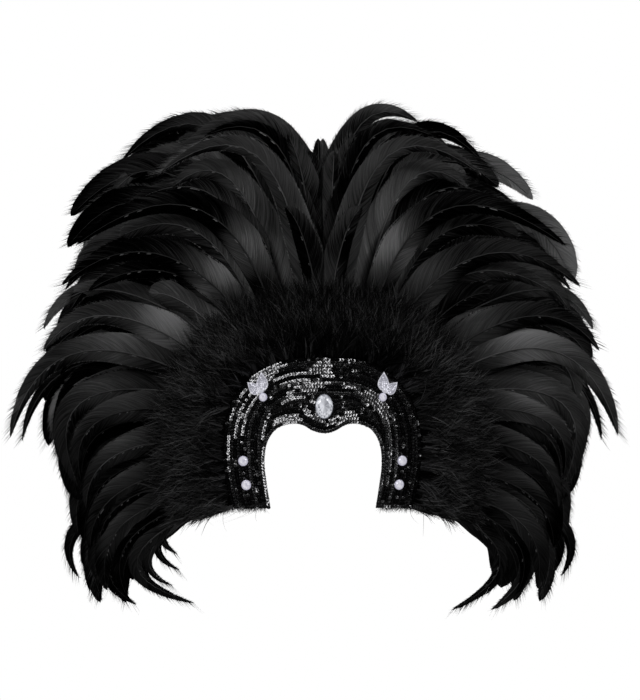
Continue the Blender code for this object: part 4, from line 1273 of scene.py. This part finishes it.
# The stones glow through their finish: painted light, though they are no lamp.
glass = {"Roughness": 0.10, "Metallic": 0.15, "Coat_Weight": 1.0, "Coat_Roughness": 0.03}
clear_glass = stone_finish("clear_foiled_stone", (0.20, 0.21, 0.24), (0.92, 0.94, 1.0), **glass)
pale_glass = stone_finish("pale_foiled_stone", (0.55, 0.54, 0.66), (0.95, 0.94, 1.0), **glass)
rng = np.random.default_rng(5)
for line in STONE_TABLE:
    spec = dict(zip(STONE_COLUMNS, line))
    clear = spec["name"] == "centre_stone"
    finish = clear_glass if clear else pale_glass
    stone = make_piece(spec["name"] + "_cut", stone_parts(spec, rng), finish, smooth=False)
    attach(stone, "root")
    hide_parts(spec["name"])


# The leaf jewels: two silver petals each, a tall one nearly upright and a smaller one leaning outwards, set
# all over with small clear stones and joined behind the round stone at their foot.
LEAF_X = 0.0745
LEAF_Z = -0.0415
PETAL_LENGTH = 0.0248
PETAL_WIDTH = 0.0158
PETAL_ROUND = 0.60
PETAL_POINT = 1.20
PETAL_THICKNESS = 0.0016
LEAF_STONE_RADIUS = 0.0046
PETAL_FOOT = LEAF_STONE_RADIUS + 4 * RIM_WIDTH
PAVE_RADIUS = 0.00110
PAVE_PITCH = 0.0023
KNOT_RADIUS = 0.0045
PETAL_COLUMNS = ("lean", "length", "width")
PETAL_TABLE = (
    (8.0, 1.00, 1.00),
    (50.0, 0.88, 0.88),
)


def petal_half_width(share):
    """Half a petal's width along its length, as a share of its widest."""
    widest = PETAL_ROUND / (PETAL_ROUND + PETAL_POINT)
    full = widest**PETAL_ROUND * (1.0 - widest) ** PETAL_POINT
    return share**PETAL_ROUND * (1.0 - share) ** PETAL_POINT / full


def pave_parts(spot, sideways, forth, out, rng):
    """One small cut stone: eight sloping facets and a table."""
    angle = (2 * np.pi * np.arange(8) / 8 + rng.uniform(0, 1))[:, None]
    ring = np.cos(angle) * sideways + np.sin(angle) * forth
    low = spot + ring * PAVE_RADIUS
    high = spot + ring * 0.55 * PAVE_RADIUS + out * 0.9 * PAVE_RADIUS
    # A painted sparkle: each small stone gets a random brightness for its facets and table, which glow
    # through the finish.
    painted_sparkle = rng.choice((0.35, 0.6, 1.0))
    parts = []
    for side in range(8):
        after = (side + 1) % 8
        corner = np.array((low[side], low[after], high[after], high[side]))
        parts.append((corner, one_face(4), painted_sparkle * rng.uniform(0.4, 1.0)))
    return parts + [(high, one_face(8), painted_sparkle)]


def petal_parts(spec, direction, frame_at, rng):
    """The plate of one petal with a raised border, and rows of small stones over it."""
    base, right, up, out = frame_at
    lean = math.radians(spec["lean"]) * direction
    forth = up * math.cos(lean) + right * math.sin(lean)
    sideways = right * math.cos(lean) - up * math.sin(lean)
    length = spec["length"] * PETAL_LENGTH
    half_width = 0.5 * spec["width"] * PETAL_WIDTH
    foot = base + forth * PETAL_FOOT
    shares = np.linspace(0.0, 1.0, 25)
    spine = foot + forth * (shares * length)[:, None]
    half = sideways * (half_width * petal_half_width(shares))[:, None]
    outline = np.concatenate([spine + half, (spine - half)[-2:0:-1]])
    centre = foot + forth * 0.45 * length
    inner = centre + (outline - centre) * 0.90 + out * PETAL_THICKNESS
    floor_ring = centre + (outline - centre) * 0.88 + out * 0.6 * PETAL_THICKNESS
    plate = np.stack([outline, outline + out * PETAL_THICKNESS, inner, floor_ring])
    # The plate, its sunk floor and its back take fixed shades, which glow as painted light; the floor is the
    # darkest.
    parts = [(plate, grid_faces(4, len(outline), closed=True), 0.6)]
    parts += [(floor_ring, one_face(len(outline)), 0.25), (outline, one_face(len(outline)), 0.4)]
    rows = int(length / PAVE_PITCH)
    for row in range(1, rows):
        reach = half_width * petal_half_width(row / rows) - PAVE_RADIUS * 0.9
        if reach < 0:
            continue
        across = int(2 * reach / PAVE_PITCH) + 1
        for place in np.linspace(-reach, reach, across) if across > 1 else (0.0,):
            spot = foot + forth * row / rows * length + sideways * place + out * 0.6 * PETAL_THICKNESS
            parts += pave_parts(spot, sideways, forth, out, rng)
    return parts


# The silver glows with painted light; the shades of its plates, knots and small stones are painted
# reflections.
silver_look = {"Metallic": 0.45, "Roughness": 0.18}
silver = stone_finish("silver_pave", (0.10, 0.10, 0.13), (0.93, 0.93, 1.0), 0.75, **silver_look)
for side, direction in (("left", -1), ("right", 1)):
    rng = np.random.default_rng(31)
    frame_at = seat(direction * LEAF_X, LEAF_Z)
    parts = []
    for line in PETAL_TABLE:
        parts += petal_parts(dict(zip(PETAL_COLUMNS, line)), direction, frame_at, rng)
    base, right, up, out = frame_at
    lean = math.radians(0.5 * PETAL_TABLE[1][0]) * direction
    knot = base + 1.25 * PETAL_FOOT * (up * math.cos(lean) + right * math.sin(lean))
    angle = (2 * np.pi * np.arange(16) / 16)[:, None]
    ring = knot + KNOT_RADIUS * (np.cos(angle) * right + np.sin(angle) * up)
    drum = np.stack([ring, ring + out * 0.8 * PETAL_THICKNESS])
    parts += [(drum, grid_faces(2, 16, closed=True), 0.5), (drum[1], one_face(16), 0.5)]
    jewel = make_piece(f"leaf_jewel_{side}_pave", parts, silver, smooth=False)
    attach(jewel, "root")
    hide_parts(f"leaf_jewel_{side}")
